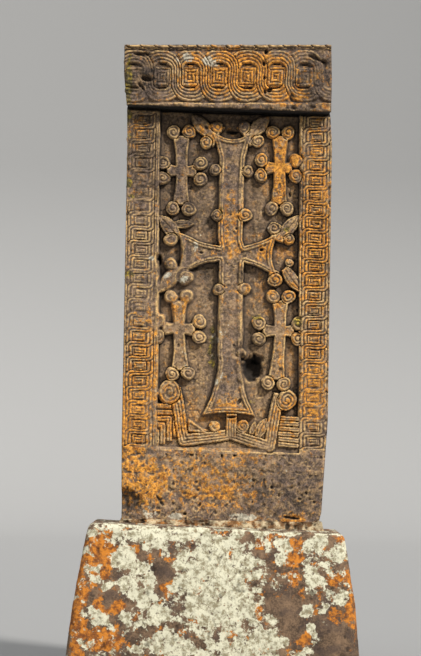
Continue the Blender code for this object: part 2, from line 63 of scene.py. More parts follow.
def lattice(x: Array, y: Array, z: Array, seed: int) -> Array:
    """Smooth noise between the corners of a unit lattice.

    Each corner's value is hashed from its whole coordinates, and the eight
    corners round a point are mixed by the smoothstep of its place between them.

    Args:
        x: First coordinates, in lattice cells.
        y: Second coordinates, in lattice cells.
        z: Third coordinates, in lattice cells.
        seed: Number that picks one field of noise.

    Returns:
        Values from -1 to 1.
    """
    floors = [np.floor(part).astype(np.int64) for part in (x, y, z)]
    eased = []
    for part, low in zip((x, y, z), floors):
        share = part - low
        eased.append(share * share * (3.0 - 2.0 * share))
    total = np.zeros_like(x)
    for corner in range(8):
        steps = (corner & 1, corner >> 1 & 1, corner >> 2 & 1)
        number = np.full(x.shape, seed * 2654435761, dtype=np.int64)
        weight = np.ones_like(x)
        for low, step, prime, ease in zip(floors, steps, PRIMES, eased):
            number = number ^ ((low + step) * prime)
            weight = weight * (ease if step else 1.0 - ease)
        number = ((number ^ (number >> 15)) * 2246822519) & 0xFFFFFFFF
        number = ((number ^ (number >> 13)) * 3266489917) & 0xFFFFFFFF
        total += weight * (((number ^ (number >> 16)) & 0xFFFF) / 32767.5 - 1.0)
    return total


def fractal(points: Array, size: float, octaves: int, seed: int) -> Array:
    """Noise of several sizes, each half as large and half as strong as the last.

    Args:
        points: N by 3 places in millimetres.
        size: Largest size of the noise, in millimetres.
        octaves: How many sizes are summed.
        seed: Number that picks one field of noise.

    Returns:
        Values of about -1 to 1.
    """
    total = np.zeros(len(points))
    reach = 0.0
    for octave in range(octaves):
        scale = 2.0 ** octave / size
        strength = 0.5 ** octave
        total += strength * lattice(*(points.T * scale + 17.3 * octave), seed + octave)
        reach += strength
    return total / reach


def smooth(low: float, high: float, value: Array) -> Array:
    """Smoothstep of a value between two levels."""
    share = np.clip((value - low) / (high - low), 0.0, 1.0)
    return share * share * (3.0 - 2.0 * share)


def arc(centre: Sequence[float], radius: float, start: float, end: float, count: int) -> Array:
    """Evenly spaced points along a circular arc, with its angles in degrees."""
    angles = np.radians(np.linspace(start, end, count))
    return np.column_stack((centre[0] + radius * np.cos(angles), centre[1] + radius * np.sin(angles)))


def smooth_path(points: Sequence[Sequence[float]], count: int = 28) -> Array:
    """A Catmull-Rom curve through a few points, read at even shares.

    Args:
        points: The points that the curve passes through.
        count: How many points are read from the curve.

    Returns:
        The points along the curve.
    """
    knots = np.asarray(points, dtype=float)
    knots = np.vstack((2 * knots[0] - knots[1], knots, 2 * knots[-1] - knots[-2]))
    where = np.linspace(0.0, len(points) - 1 - 1e-9, count)
    first = np.floor(where).astype(int)
    share = (where - first)[:, None]
    a, b, c, d = (knots[first + step] for step in range(4))
    return 0.5 * (2 * b + (c - a) * share + (2 * a - 5 * b + 4 * c - d) * share ** 2
                  + (3 * b - a - 3 * c + d) * share ** 3)


def depth_inside(loop: Array, points: Array) -> Array:
    """How deep each point lies inside a closed loop.

    Args:
        loop: The loop's corners.
        points: The places that are asked for.

    Returns:
        Distances from the loop, positive inside it and negative outside.
    """
    edge = np.roll(loop, -1, axis=0) - loop
    offset = points[:, None, :] - loop[None]
    share = np.clip(np.sum(offset * edge, axis=2) / np.sum(edge * edge, axis=1), 0.0, 1.0)
    gap = offset - share[:, :, None] * edge
    distance = np.sqrt(np.sum(gap * gap, axis=2).min(axis=1))
    rises = (loop[:, 1] > points[:, None, 1]) != (loop[:, 1] + edge[:, 1] > points[:, None, 1])
    slope = edge[:, 0] / np.where(edge[:, 1] == 0.0, 1e-12, edge[:, 1])
    inside = np.sum(rises & (points[:, None, 0] < loop[:, 0] + offset[:, :, 1] * slope), axis=1) % 2 == 1
    return np.where(inside, distance, -distance)


def along_path(path: Array, points: Array) -> tuple[Array, Array]:
    """Where each point lies beside an open path.

    Args:
        path: The path's points.
        points: The places that are asked for.

    Returns:
        The signed distance across the path, and the length run along it, which
        is below zero before its start and above its length beyond its end.
    """
    edge = np.diff(path, axis=0)
    length = np.linalg.norm(edge, axis=1)
    run = np.concatenate(((0.0,), np.cumsum(length)))
    offset = points[:, None, :] - path[None, :-1]
    whole = np.sum(offset * edge, axis=2) / length ** 2
    share = np.clip(whole, 0.0, 1.0)
    gap = offset - share[:, :, None] * edge
    distance = np.sum(gap * gap, axis=2)
    nearest = distance.argmin(axis=1)
    rows = np.arange(len(points))
    turn = edge[nearest, 0] * offset[rows, nearest, 1] - edge[nearest, 1] * offset[rows, nearest, 0]
    across = np.sqrt(distance[rows, nearest]) * np.where(turn >= 0.0, 1.0, -1.0)
    outside = ((nearest == 0) & (whole[:, 0] < 0.0)) | ((nearest == len(edge) - 1) & (whole[:, -1] > 1.0))
    placed = np.where(outside, whole[rows, nearest], share[rows, nearest])
    return across, run[nearest] + placed * length[nearest]


def path_length(path: Array) -> float:
    """The whole length of an open path."""
    return float(np.linalg.norm(np.diff(path, axis=0), axis=1).sum())


def upright_box(middle: Sequence[float], half_width: float, half_height: float) -> list[tuple]:
    """The corners of an upright box, counter-clockwise."""
    turns = ((-1, -1), (1, -1), (1, 1), (-1, 1))
    return [(middle[0] + a * half_width, middle[1] + b * half_height) for a, b in turns]


def grooves(share: Array, lines: int, fullness: float) -> Array:
    """How deep a strand is grooved across it: 0 on its lines, 1 between them.

    Args:
        share: Places across the strand, from -1 to 1.
        lines: How many lines run along it.
        fullness: The smaller it is, the broader the lines.

    Returns:
        Shares of the grooves' full depth.
    """
    phase = math.pi * lines * share + (0.0 if lines % 2 else math.pi)
    return 1.0 - (0.5 + 0.5 * np.cos(phase)) ** fullness


def flat_places(across: Array, up: Array) -> Array:
    """Places on the face as points whose third coordinate is 0."""
    return np.column_stack((across, up, np.zeros(len(across))))


@dataclass(frozen=True)
class Levels:
    """Heights of the carving above the plain border face, in millimetres."""

    field: float = -35.0
    cross: float = -4.0
    cross_panel: float = -11.0
    small_cross: float = -8.0
    border_ground: float = -11.0
    border: float = -1.0
    base_ground: float = -16.0
    base: float = -2.0
    cornice: float = 60.0
    cornice_lean: float = 10.0
    cornice_ground: float = 48.0


@dataclass(frozen=True)
class SlabLayout:
    """The slab's outline and its large divisions, in millimetres on its face."""

    height: float = 1883.0
    width: float = 815.0
    thickness: float = 240.0
    left_up: tuple = (0, 300, 1500, 1640, 1760, 1876)
    left_across: tuple = (-397, -402, -402, -406, -418, -418)
    right_up: tuple = (0, 10, 40, 400, 1500, 1625, 1760, 1890)
    right_across: tuple = (372, 386, 393, 413, 413, 405, 406, 401)
    cornice_left: float = 1638.0
    cornice_right: float = 1622.0
    top_left: float = 1876.0
    top_right: float = 1890.0
    seams: tuple = (262.0, 700.0, 1140.0)
    panel: tuple = ((-262, 286), (302, 270), (292, 900), (284, 1700), (-277, 1700), (-268, 900))

    def left(self, up: Array) -> Array:
        """The slab's left edge at a height."""
        return np.interp(up, self.left_up, self.left_across)

    def right(self, up: Array) -> Array:
        """The slab's right edge at a height."""
        return np.interp(up, self.right_up, self.right_across)

    def cornice_edge(self, across: Array) -> Array:
        """The cornice's lower edge, which falls to the right and is a little ragged.

        Args:
            across: Places across.

        Returns:
            The edge's height at each place.
        """
        share = (across + 406.0) / 812.0
        place = np.column_stack((across, np.zeros_like(across), np.zeros_like(across)))
        ragged = 2.5 * fractal(place, 38, 3, 5)
        return self.cornice_left + share * (self.cornice_right - self.cornice_left) + ragged

    def top(self, across: Array) -> Array:
        """The slab's top edge.

        Args:
            across: Places across.

        Returns:
            The edge's height at each place.
        """
        share = (across + 418.0) / 819.0
        place = np.column_stack((across, np.full_like(across, 9.0), np.zeros_like(across)))
        ragged = np.minimum(1.2 * fractal(place, 30, 3, 6), 0.0)
        return self.top_left + share * (self.top_right - self.top_left) + ragged


@dataclass
class Carving:
    """The height of the carving over a patch of the face, cut form by form."""

    across: Array
    up: Array
    height: Array = field(init=False)
    place: Array = field(init=False)
    points: Array = field(init=False)

    def __post_init__(self) -> None:
        """Start from the plain face, with the layout a little out of true as hand work is."""
        place = flat_places(self.across, self.up)
        self.place = place
        wobble_across = 3.4 * fractal(place, 75, 3, 11) + 1.4 * fractal(place, 14, 2, 13)
        wobble_up = 3.4 * fractal(place, 75, 3, 12) + 1.4 * fractal(place, 14, 2, 14)
        self.points = np.column_stack((self.across + wobble_across, self.up + wobble_up))
        self.height = np.zeros(len(self.across))

    def near(self, low: Sequence[float], high: Sequence[float]) -> Array:
        """Numbers of the points inside an upright box."""
        inside = np.all((self.points > np.asarray(low)) & (self.points < np.asarray(high)), axis=1)
        return np.flatnonzero(inside)

    def shape(self, loop: Sequence, insets: Sequence[float], levels: Sequence[float], raised: bool) -> None:
        """Raise or sink what lies inside a loop, by a profile read inwards from its edge.

        Args:
            loop: The loop's corners.
            insets: Distances inside the loop.
            levels: The height at each distance.
            raised: True keeps the higher of old and new, False the lower.
        """
        loop = np.asarray(loop, dtype=float)
        numbers = self.near(loop.min(axis=0) - 1.0, loop.max(axis=0) + 1.0)
        if len(numbers) == 0:
            return
        inside = depth_inside(loop, self.points[numbers])
        level = np.interp(inside, insets, levels)
        held = self.height[numbers]
        cut = np.maximum(held, level) if raised else np.minimum(held, level)
        self.height[numbers] = np.where(inside > 0.0, cut, held)

    def strand(self, path: Array, half_width: float, lines: int, crown: float, ground: float,
               groove: float = 3.0) -> None:
        """Lay a grooved strand along a path: a cosine across it makes its rounded lines.

        Args:
            path: The middle of the strand.
            half_width: Half its width.
            lines: How many lines run along it.
            crown: Height of its lines.
            ground: Height of the drilled edge beside it.
            groove: Depth of the grooves between its lines.
        """
        edge = 2.2
        reach = half_width + edge
        numbers = self.near(path.min(axis=0) - reach, path.max(axis=0) + reach)
        if len(numbers) == 0:
            return
        across, run = along_path(path, self.points[numbers])
        within = (run >= 0.0) & (run <= path_length(path))
        share = across / half_width
        level = crown - groove * grooves(share, lines, 0.55)
        held = self.height[numbers]
        inside = (np.abs(share) < 1.0) & within
        beside = (np.abs(share) >= 1.0) & (np.abs(across) < reach) & within
        self.height[numbers] = np.where(inside, level, np.where(beside, np.minimum(held, ground), held))

    def coil(self, centre: Sequence[float], radius: float, crown: float, ground: float,
             turn: float = 1.0, pitch: float = 12.0, groove: float = 4.5) -> None:
        """A coiled volute: lines of constant radius plus a share of the angle, round a centre.

        Each is a little out of round and tilted, differently for every centre.

        Args:
            centre: The middle of the coil.
            radius: Its outer radius.
            crown: Height of its line.
            ground: Height of the edge beside it.
            turn: 1 coils counter-clockwise, -1 clockwise.
            pitch: Distance between its lines.
            groove: Depth between its lines.
        """
        reach = radius + 2.0
        middle = np.asarray(centre, dtype=float)
        numbers = self.near(middle - reach, middle + reach)
        if len(numbers) == 0:
            return
        offset = self.points[numbers] - middle
        bearing = np.arctan2(offset[:, 1], offset[:, 0])
        hand = 0.37 * middle[0] + 0.11 * middle[1]
        uneven = 1.0 + 0.05 * np.cos(2.0 * bearing + hand) + 0.035 * np.cos(3.0 * bearing - 1.7 * hand)
        out = np.hypot(offset[:, 0], offset[:, 1]) * uneven
        angle = bearing / (2.0 * math.pi)
        wound = (radius - out) / pitch + turn * angle
        ridge = 0.5 + 0.5 * np.cos(2.0 * math.pi * (wound - 0.3))
        ridge = np.where(out < pitch * 0.45, 1.0, ridge)
        tilt = (offset[:, 0] * math.cos(hand) + offset[:, 1] * math.sin(hand)) / radius
        level = crown + 2.0 * tilt - groove * (1.0 - ridge ** 0.7)
        level = np.where(out > radius - 2.5, np.minimum(level, crown - (out - radius + 2.5) * 1.6), level)
        held = self.height[numbers]
        beside = (out >= radius) & (out < reach)
        around = np.where(beside, np.minimum(held, ground), held)
        self.height[numbers] = np.where(out < radius, level, around)

    def leaf(self, base: Sequence[float], tip: Sequence[float], half_width: float, crown: float) -> None:
        """A pointed leaf with a sunk midrib: its width is a sine along it, drawn to its tip.

        Args:
            base: Where the leaf starts.
            tip: Where it ends.
            half_width: Half its greatest width.
            crown: Height of its blade.
        """
        start = np.asarray(base, dtype=float)
        run = np.asarray(tip, dtype=float) - start
        length = float(np.hypot(*run))
        ahead = run / length
        reach = half_width + 2.0
        low = np.minimum(start, np.asarray(tip)) - reach
        numbers = self.near(low, np.maximum(start, np.asarray(tip)) + reach)
        if len(numbers) == 0:
            return
        offset = self.points[numbers] - start
        along = (offset @ ahead) / length
        across = offset @ np.array((-ahead[1], ahead[0]))
        width = half_width * np.sin(math.pi * np.clip(0.18 + 0.82 * along, 0.0, 1.0)) ** 0.8
        inside = (along > -0.05) & (along < 1.0) & (np.abs(across) < width)
        within = width - np.abs(across)
        rib = 4.5 * np.exp(-(across / 2.4) ** 2) + 4.0 * np.exp(-((within - 7.0) / 2.0) ** 2)
        held = self.height[numbers]
        self.height[numbers] = np.where(inside, np.maximum(held, crown - rib), held)

    def hole(self, centre: Sequence[float], radii: Sequence[float], depth: float,
             lean: float = 0.0) -> None:
        """A rough hollow: an ellipse with a noisy rim, deepest in its middle.

        Args:
            centre: Its middle.
            radii: Its radii along and across its lean.
            depth: Its depth.
            lean: The angle of its first radius, in degrees.
        """
        middle = np.asarray(centre, dtype=float)
        reach = max(radii) * 1.6
        numbers = self.near(middle - reach, middle + reach)
        if len(numbers) == 0:
            return
        offset = self.points[numbers] - middle
        turn = math.radians(lean)
        first = offset[:, 0] * math.cos(turn) + offset[:, 1] * math.sin(turn)
        second = offset[:, 1] * math.cos(turn) - offset[:, 0] * math.sin(turn)
        out = np.hypot(first / radii[0], second / radii[1]) + 0.3 * fractal(self.place[numbers], 20, 3, 31)
        self.height[numbers] -= depth * smooth(1.0, 0.45, out)


@dataclass(frozen=True)
class KnotBand:
    """A run of nested squares with a broad strand that winds between them.

    Places are in the band's own frame: along it, and across it.
    """

    pitch: float
    half_square: tuple
    reach: tuple
    bend: float
    half_strand: tuple
    lines: int
    line_pitch: float
    crown: float
    ground: float
    groove: float

    def strand_path(self, half: int) -> Array:
        """Half of the strand's path, point-symmetric about the middle of the gap.

        It runs straight down the gap, swings round the next square in a flat bow and
        dives under its neighbour.

        Args:
            half: 1 for the part above, -1 for the part below.

        Returns:
            The path's points, in the band's frame from the middle of the gap.
        """
        reach = self.reach[0] if half > 0 else self.reach[1]
        turn = arc((self.bend, self.bend - reach), self.bend, 180.0, 270.0, 7)
        rise = arc((self.pitch - self.bend, self.bend - reach), self.bend, 270.0, 345.0, 6)
        path = np.vstack(((0.0, 0.0), turn, rise))
        return path * -float(half)

    def square(self, carving: Carving, numbers: Array, along: Array, across: Array, start: int) -> None:
        """A square meander: lines at even distances inside the sides, a quarter line later on each.

        Args:
            carving: The carving to cut.
            numbers: Its points near the square.
            along: Their places along the band, from the square's middle.
            across: Their places across the band, from the square's middle.
            start: The side on which the meander starts.
        """
        gaps = np.stack((self.half_square[0] - along, self.half_square[1] - across,
                         self.half_square[0] + along, self.half_square[1] + across))
        inside = gaps.min(axis=0)
        side = (gaps.argmin(axis=0) + start) % 4
        ridge = 0.5 + 0.5 * np.cos(2.0 * math.pi * (inside / self.line_pitch - 0.33 - 0.25 * side))
        level = self.crown - self.groove * (1.0 - ridge ** 0.5)
        level = np.where(inside < 1.6, self.ground, level)
        held = carving.height[numbers]
        carving.height[numbers] = np.where(inside > 0.0, level, held)

    def strand(self, carving: Carving, numbers: Array, local: Array, half: int) -> None:
        """Lay one half of a winding strand over what is there.

        Args:
            carving: The carving to cut.
            numbers: Its points near the strand.
            local: Their places in the band's frame, from the middle of the gap.
            half: 1 for the part above, -1 for the part below.
        """
        path = self.strand_path(half)
        across, run = along_path(path, local)
        within = (run >= 0.0) & (run <= path_length(path))
        width = np.interp(run, (0.35 * self.pitch, 0.8 * self.pitch), self.half_strand)
        share = across / width
        level = self.crown - self.groove * grooves(share, self.lines, 0.5)
        held = carving.height[numbers]
        inside = (np.abs(share) < 1.0) & within
        beside = (np.abs(share) >= 1.0) & (np.abs(across) < width + 1.8) & within
        under = np.minimum(held, self.ground)
        carving.height[numbers] = np.where(inside, level, np.where(beside, under, held))

    def cut(self, carving: Carving, first: float, count: int, into: Callable[[Array, float], Array],
            box: Callable[[float], tuple]) -> None:
        """Cut the whole band: its squares, strands above from right to left, then strands below.

        Args:
            carving: The carving to cut.
            first: Place along the band of the first square.
            count: How many squares there are.
            into: Turns points of the face into the band's frame about a place along it.
            box: Gives the face box that holds all near a place along the band.
        """
        for index in range(count):
            where = first + index * self.pitch
            numbers = carving.near(*box(where))
            if len(numbers):
                local = into(carving.points[numbers], where)
                self.square(carving, numbers, local[:, 0], local[:, 1], index * 3 % 4)
        gaps = [first + (index - 0.5) * self.pitch for index in range(count + 1)]
        for half, order in ((1, gaps[::-1]), (-1, gaps)):
            for where in order:
                numbers = carving.near(*box(where))
                if len(numbers):
                    self.strand(carving, numbers, into(carving.points[numbers], where), half)


@dataclass(frozen=True)
class CorniceWork:
    """The cornice's band of knots, a lesser band above it, its drilled slots and its damage."""

    levels: Levels = Levels()
    first: float = -381.0
    count: int = 7
    pitch: float = 113.0
    middle: float = 1748.0
    rise: float = 12.0
    channel: tuple = (-104.0, 112.0)
    half_length: float = 450.0
    band_reach: tuple = (-103.0, 103.0)
    upper_middle: float = 190.0
    upper_reach: tuple = (106.0, 230.0)
    upper_shift: float = 3.0
    half_box: float = 150.0
    slots: tuple = ((51.0, 15.0, 4.5), (-43.0, 18.0, 4.0))

    def line(self, across: float) -> float:
        """Height of the band's middle line at a place across."""
        return self.middle + self.rise * (across - self.first) / (self.pitch * (self.count - 1))

    def band(self) -> KnotBand:
        """The band's own sizes."""
        return KnotBand(pitch=self.pitch, half_square=(36.0, 39.0), reach=(80.0, 72.0), bend=50.0,
                        half_strand=(20.0, 27.0), lines=4, line_pitch=13.4, crown=self.levels.cornice,
                        ground=self.levels.cornice_ground, groove=7.0)

    def upper_band(self) -> KnotBand:
        """The lesser band's own sizes."""
        return KnotBand(pitch=self.pitch * 0.5, half_square=(16, 16), reach=(62.0, 62.0), bend=14.0,
                        half_strand=(12.0, 14.0), lines=2, line_pitch=11.0, crown=self.levels.cornice,
                        ground=self.levels.cornice_ground, groove=9.0)

    def lay(self, carving: Carving, band: KnotBand, first: float, count: int, above: float,
            reach: tuple) -> None:
        """Lay a band of knots along the middle line.

        Args:
            carving: The carving to cut.
            band: The band's sizes.
            first: Place across of its first square.
            count: How many squares it has.
            above: How far its middle lies above the line.
            reach: Its lowest and highest place from the line.
        """
        def into(points: Array, where: float) -> Array:
            """Places from a square's middle."""
            return points - np.array((where, self.line(where))) - (0.0, above)

        def box(where: float) -> tuple:
            """The corners of a square's box."""
            line = self.line(where)
            return (where - self.half_box, line + reach[0]), (where + self.half_box, line + reach[1])

        band.cut(carving, first, count, into, box)

    def cut(self, carving: Carving) -> None:
        """Cut the cornice's face.

        Args:
            carving: The carving that it works on.
        """
        crown = self.levels.cornice
        carving.height[:] = crown
        far = self.half_length
        low, high = self.channel
        corners = ((-far, low), (far, low), (far, high), (-far, high))
        channel = [(across, self.line(across) + edge) for across, edge in corners]
        carving.shape(channel, (0.0, 3.0), (crown, self.levels.cornice_ground), False)
        self.lay(carving, self.band(), self.first, self.count, 0.0, self.band_reach)
        self.lay(carving, self.upper_band(), self.first + self.upper_shift, 2 * self.count,
                 self.upper_middle, self.upper_reach)
        for index in range(self.count):
            across = self.first + index * self.pitch
            for above, half_width, half_height in self.slots:
                middle = (across + 2.0, self.line(across) + above)
                loop = upright_box(middle, half_width, half_height)
                carving.shape(loop, (0.0, 3.0), (crown - 6.0, crown - 24.0), False)
        for place, radii, depth, lean in CORNICE_SCARS:
            carving.hole(place, radii, depth, lean)


CORNICE_SCARS = (
    ((-329, 1742), (30, 13), 24, -12), ((-352, 1712), (22, 8), 14, -40), ((-346, 1838), (40, 9), 20, 0),
    ((142, 1858), (10, 15), 22, 0), ((134, 1810), (9, 13), 20, 0), ((139, 1755), (8, 10), 14, 0),
    ((142, 1700), (9, 16), 18, 0), ((160, 1706), (17, 12), 22, 30), ((345, 1832), (44, 8), 16, -22),
    ((372, 1812), (16, 22), 12, 0), ((268, 1725), (26, 20), 9, -45), ((250, 1680), (10, 18), 12, 0),
    ((-120, 1624), (15, 9), 11, 0), ((62, 1628), (22, 7), 10, 4), ((255, 1636), (13, 10), 12, 0),
    ((-300, 1620), (20, 8), 9, 0), ((-215, 1628), (9, 7), 8, 0), ((165, 1630), (8, 8), 9, 0),
    ((330, 1640), (16, 9), 9, 0),
)


@dataclass(frozen=True)
class BorderWork:
    """A border: the same knot, smaller, run down one side of the panel."""

    axis_top: float
    axis_foot: float
    levels: Levels = Levels()
    top: float = 1616.0
    foot: float = 288.0
    knots: int = 23
    half_width: float = 55.0
    half_box: float = 75.0
    slot: tuple = (15.0, 2.3)
    slot_place: tuple = (3.0, 18.6)

    def axis(self, along: float) -> float:
        """Place across of the border's middle, some way down from its top."""
        return self.axis_top + (self.axis_foot - self.axis_top) * along / (self.top - self.foot)

    def cut(self, carving: Carving) -> None:
        """Sink the border's ground and lay its knots in it.

        Args:
            carving: The carving that it works on.
        """
        width = self.half_width
        loop = ((self.axis_foot - width, self.foot), (self.axis_foot + width, self.foot),
                (self.axis_top + width, self.top), (self.axis_top - width, self.top))
        carving.shape(loop, (0.0, 3.0), (0.0, self.levels.border_ground), False)
        pitch = (self.top - self.foot) / self.knots

        def into(points: Array, along: float) -> Array:
            """Places from a knot's middle, with the border's length first."""
            return np.column_stack((self.top - along - points[:, 1], points[:, 0] - self.axis(along)))

        def box(along: float) -> tuple:
            """The corners of a knot's box, kept inside the border.

            Args:
                along: How far down from the border's top the knot lies.

            Returns:
                Its two corners.
            """
            middle = self.axis(along)
            up = self.top - along
            low = max(up - self.half_box, self.foot)
            high = min(up + self.half_box, self.top)
            return (middle - width, low), (middle + width, high)

        band = KnotBand(pitch=pitch, half_square=(17.8, 27.0), reach=(41.0, 41.0), bend=13.0,
                        half_strand=(10.5, 14.0), lines=2, line_pitch=11.4, crown=self.levels.border,
                        ground=self.levels.border_ground, groove=7.6)
        band.cut(carving, pitch / 2, self.knots, into, box)
        for index in range(self.knots):
            along = (index + 0.5) * pitch
            for turn in (-1.0, 1.0):
                middle = (self.axis(along) - turn * self.slot_place[0],
                          self.top - along + turn * self.slot_place[1])
                carving.shape(upright_box(middle, *self.slot), (0.0, 1.6), (-5.0, -16.0), False)


@dataclass(frozen=True)
class CrossArm:
    """An arm of a cross: its angle, stations of distance and half width, shift, and hollow end."""

    angle: float
    stations: tuple
    shift: float = 0.0
    hollow: float = 0.0

    def outline(self) -> Array:
        """The arm's edge from its right side round its end to its left side."""
        stations = np.asarray(self.stations, dtype=float)
        if len(stations) > 2:
            count = 5 * len(stations)
            stations = smooth_path(stations, count)
        reach, wide = stations[-1]
        ends = np.linspace(-1.0, 1.0, 13)[1:-1]
        end = np.column_stack((reach - self.hollow * (1.0 - ends ** 2), ends * wide))
        whole = np.vstack((stations * (1.0, -1.0), end, stations[::-1])) + (0.0, self.shift)
        turn = math.radians(self.angle)
        return whole @ np.array(((math.cos(turn), math.sin(turn)), (-math.sin(turn), math.cos(turn))))


@dataclass(frozen=True)
class GreatCross:
    """The great cross, its volutes, hooks, leaves and the webs that carry them."""

    levels: Levels = Levels()
    crossing: tuple = (19.0, 1058.0)
    arms: tuple = (
        CrossArm(0.0, ((52, 33), (100, 48), (148, 69), (190, 90)), 0.0, 26.0),
        CrossArm(90.0, ((60, 50), (340, 50), (412, 60), (470, 78), (516, 104)), 4.0, 56.0),
        CrossArm(180.0, ((48, 32), (110, 45), (165, 67), (218, 90)), 0.0, 20.0),
        CrossArm(270.0, ((60, 50), (355, 50), (436, 46), (524, 59), (584, 78), (646, 108)), 1.0, 14.0),
    )
    volutes: tuple = (
        ((-46, 1563), 24, 1), ((62, 1565), 24, -1), ((-90, 1501), 25, 1), ((118, 1511), 25, -1),
        ((188, 1163), 26, 1), ((196, 958), 27, -1), ((-221, 1112), 27, 1), ((-220, 1012), 26, -1),
        ((-160, 962), 30, 1), ((248, 1119), 22, 1), ((250, 1026), 17, -1),
    )
    hooks: tuple = (
        ((-50, 1391), 23, 1), ((78, 1389), 23, -1), ((-40, 1212), 23, 1), ((72, 1215), 27, -1),
        ((-29, 915), 23, 1), ((74, 921), 25, -1), ((66, 665), 20, -1),
    )
    leaves: tuple = (
        ((-78, 1536), (-148, 1614), 29), ((94, 1542), (160, 1612), 29), ((226, 1140), (288, 1216), 26),
        ((234, 1000), (304, 906), 25), ((-198, 1130), (-270, 1206), 28), ((-206, 1172), (-130, 1176), 17),
        ((-186, 994), (-274, 896), 28),
    )
    webs: tuple = (
        ((-114, 1498), (-80, 1546), (-46, 1594), (-10, 1562), (-38, 1532), (-60, 1484)),
        ((142, 1506), (104, 1546), (64, 1596), (28, 1562), (58, 1532), (84, 1490)),
        ((172, 1126), (190, 1192), (224, 1172), (270, 1130), (246, 1098), (204, 1108)),
        ((176, 1004), (208, 994), (228, 960), (202, 926), (170, 944), (170, 984)),
        ((-184, 1146), (-226, 1140), (-250, 1104), (-216, 1084), (-188, 1110)),
        ((-182, 976), (-156, 994), (-128, 962), (-158, 930), (-192, 950), (-246, 1000), (-212, 1040)),
    )

    def outline(self) -> Array:
        """The cross's whole edge, arm by arm."""
        return np.vstack([arm.outline() for arm in self.arms]) + np.asarray(self.crossing)

    def cut(self, carving: Carving) -> None:
        """Raise the cross with its double rim, then its webs, volutes, hooks and leaves.

        Args:
            carving: The carving that it works on.
        """
        level = self.levels
        insets = (0.0, 3.0, 8.0, 9.5, 11.0, 12.5, 18.0, 22.0)
        heights = (level.field, level.cross, level.cross, level.cross - 5.0, level.cross - 5.0,
                   level.cross, level.cross, level.cross_panel)
        for base, tip, half_width in self.leaves:
            carving.leaf(base, tip, half_width, level.cross - 1.0)
        carving.shape(self.outline(), insets, heights, True)
        web_heights = (level.field, level.cross, level.cross, level.cross - 4.0)
        for loop in self.webs:
            carving.shape(loop, (0.0, 3.0, 7.0, 9.0), web_heights, True)
        for place, radius, turn in self.volutes + self.hooks:
            carving.coil(place, radius, level.cross, level.field, turn, 13.5, 6.5)


@dataclass(frozen=True)
class SmallCross:
    """A small cross whose arms widen to pairs of coiled discs."""

    crossing: tuple
    up: float
    down: float
    left: float
    right: float
    foot_lean: float
    head_lean: float
    levels: Levels = Levels()
    half_shaft: float = 24.0
    pair: float = 31.0
    disc: float = 27.0

    def cut(self, carving: Carving) -> None:
        """Raise the four arms as one outline, and a pair of discs at the end of each.

        Args:
            carving: The carving that it works on.
        """
        level = self.levels
        arms = []
        discs = []
        reaches = ((0.0, self.right, 0.0), (90.0, self.up, -self.head_lean),
                   (180.0, self.left, 0.0), (270.0, self.down, self.foot_lean))
        for angle, reach, lean in reaches:
            upright = angle in (90.0, 270.0)
            half = self.half_shaft if upright else self.half_shaft - 3.0
            first = half * 0.9 if upright else self.half_shaft
            swung = angle + math.degrees(math.atan2(lean, reach))
            stations = ((first, half), (reach * 0.5, half + 2.0), (reach - 8.0, half + 12.0))
            arms.append(CrossArm(swung, stations, 0.0, 6.0).outline())
            turn = math.radians(swung)
            for side in (-self.pair, self.pair):
                discs.append((self.crossing[0] + reach * math.cos(turn) - side * math.sin(turn),
                              self.crossing[1] + reach * math.sin(turn) + side * math.cos(turn)))
        outline = np.vstack(arms) + np.asarray(self.crossing)
        crown = level.small_cross
        carving.shape(outline, (0.0, 3.0, 7.0, 9.5), (level.field, crown, crown, crown - 4.0), True)
        for number, middle in enumerate(discs):
            carving.coil(middle, self.disc, crown, level.field, 1.0 if number % 2 else -1.0, 13.0, 7.0)


@dataclass(frozen=True)
class BaseOrnament:
    """The ornament below the great cross: a stem, two rising bands, coils and leaves."""

    levels: Levels = Levels()
    ground: tuple = (
        (-300, 250), (340, 250), (340, 330), (262, 345), (225, 430), (150, 390), (80, 352),
        (-20, 352), (-120, 372), (-200, 462), (-300, 462),
    )

    def cut(self, carving: Carving) -> None:
        """Cut the ground of the ornament and lay its bands.

        Args:
            carving: The carving that it works on.
        """
        level = self.levels
        carving.shape(self.ground, (0.0, 5.0), (level.field, level.base_ground), True)
        crown = level.base
        ground = level.base_ground
        for step in range(-1, 4):
            corner = np.array((-190.0 - 25.0 * step, 424.0 - 26.0 * step))
            start = corner + (-88.0 + 25.0 * step, 0.0)
            end = corner - (0.0, 98.0 - 12.0 * step)
            carving.strand(np.vstack((start, corner, end)), 10.5, 2, crown, ground, 5.0)
        for step in range(6):
            rise = 300.0 + 21.0 * step
            path = np.array(((218.0, rise + 3.0), (298.0, rise)))
            carving.strand(path, 9.0, 2, crown, ground, 5.0)
        left = np.array(((31, 341), (-40, 328), (-158, 313), (-172, 400), (-184, 470), (-194, 520)))
        right = np.array(((31, 341), (96, 320), (184, 293), (200, 400), (210, 460), (222, 505)))
        carving.strand(left, 23.0, 4, crown, level.field, 6.0)
        carving.strand(right, 23.0, 4, crown, level.field, 6.0)
        carving.strand(np.array(((31, 424), (31, 334))), 21.0, 4, crown, level.base_ground, 6.0)
        carving.coil((-217, 504), 46.0, crown, level.field, 1.0, 15.0, 6.0)
        carving.coil((250, 481), 40.0, crown, level.field, -1.0, 14.0, 6.0)
        carving.coil((-34, 372), 22.0, crown - 2.0, ground, 1.0)
        carving.coil((78, 373), 25.0, crown - 2.0, ground, -1.0)
        carving.shape(((-140, 402), (-140, 346), (-58, 342)), (0.0, 3.0, 8.0, 11.0),
                      (ground, crown, crown, crown - 5.0), True)
        carving.leaf((138, 336), (172, 408), 20, crown)
        carving.leaf((112, 344), (126, 392), 12, crown - 3.0)


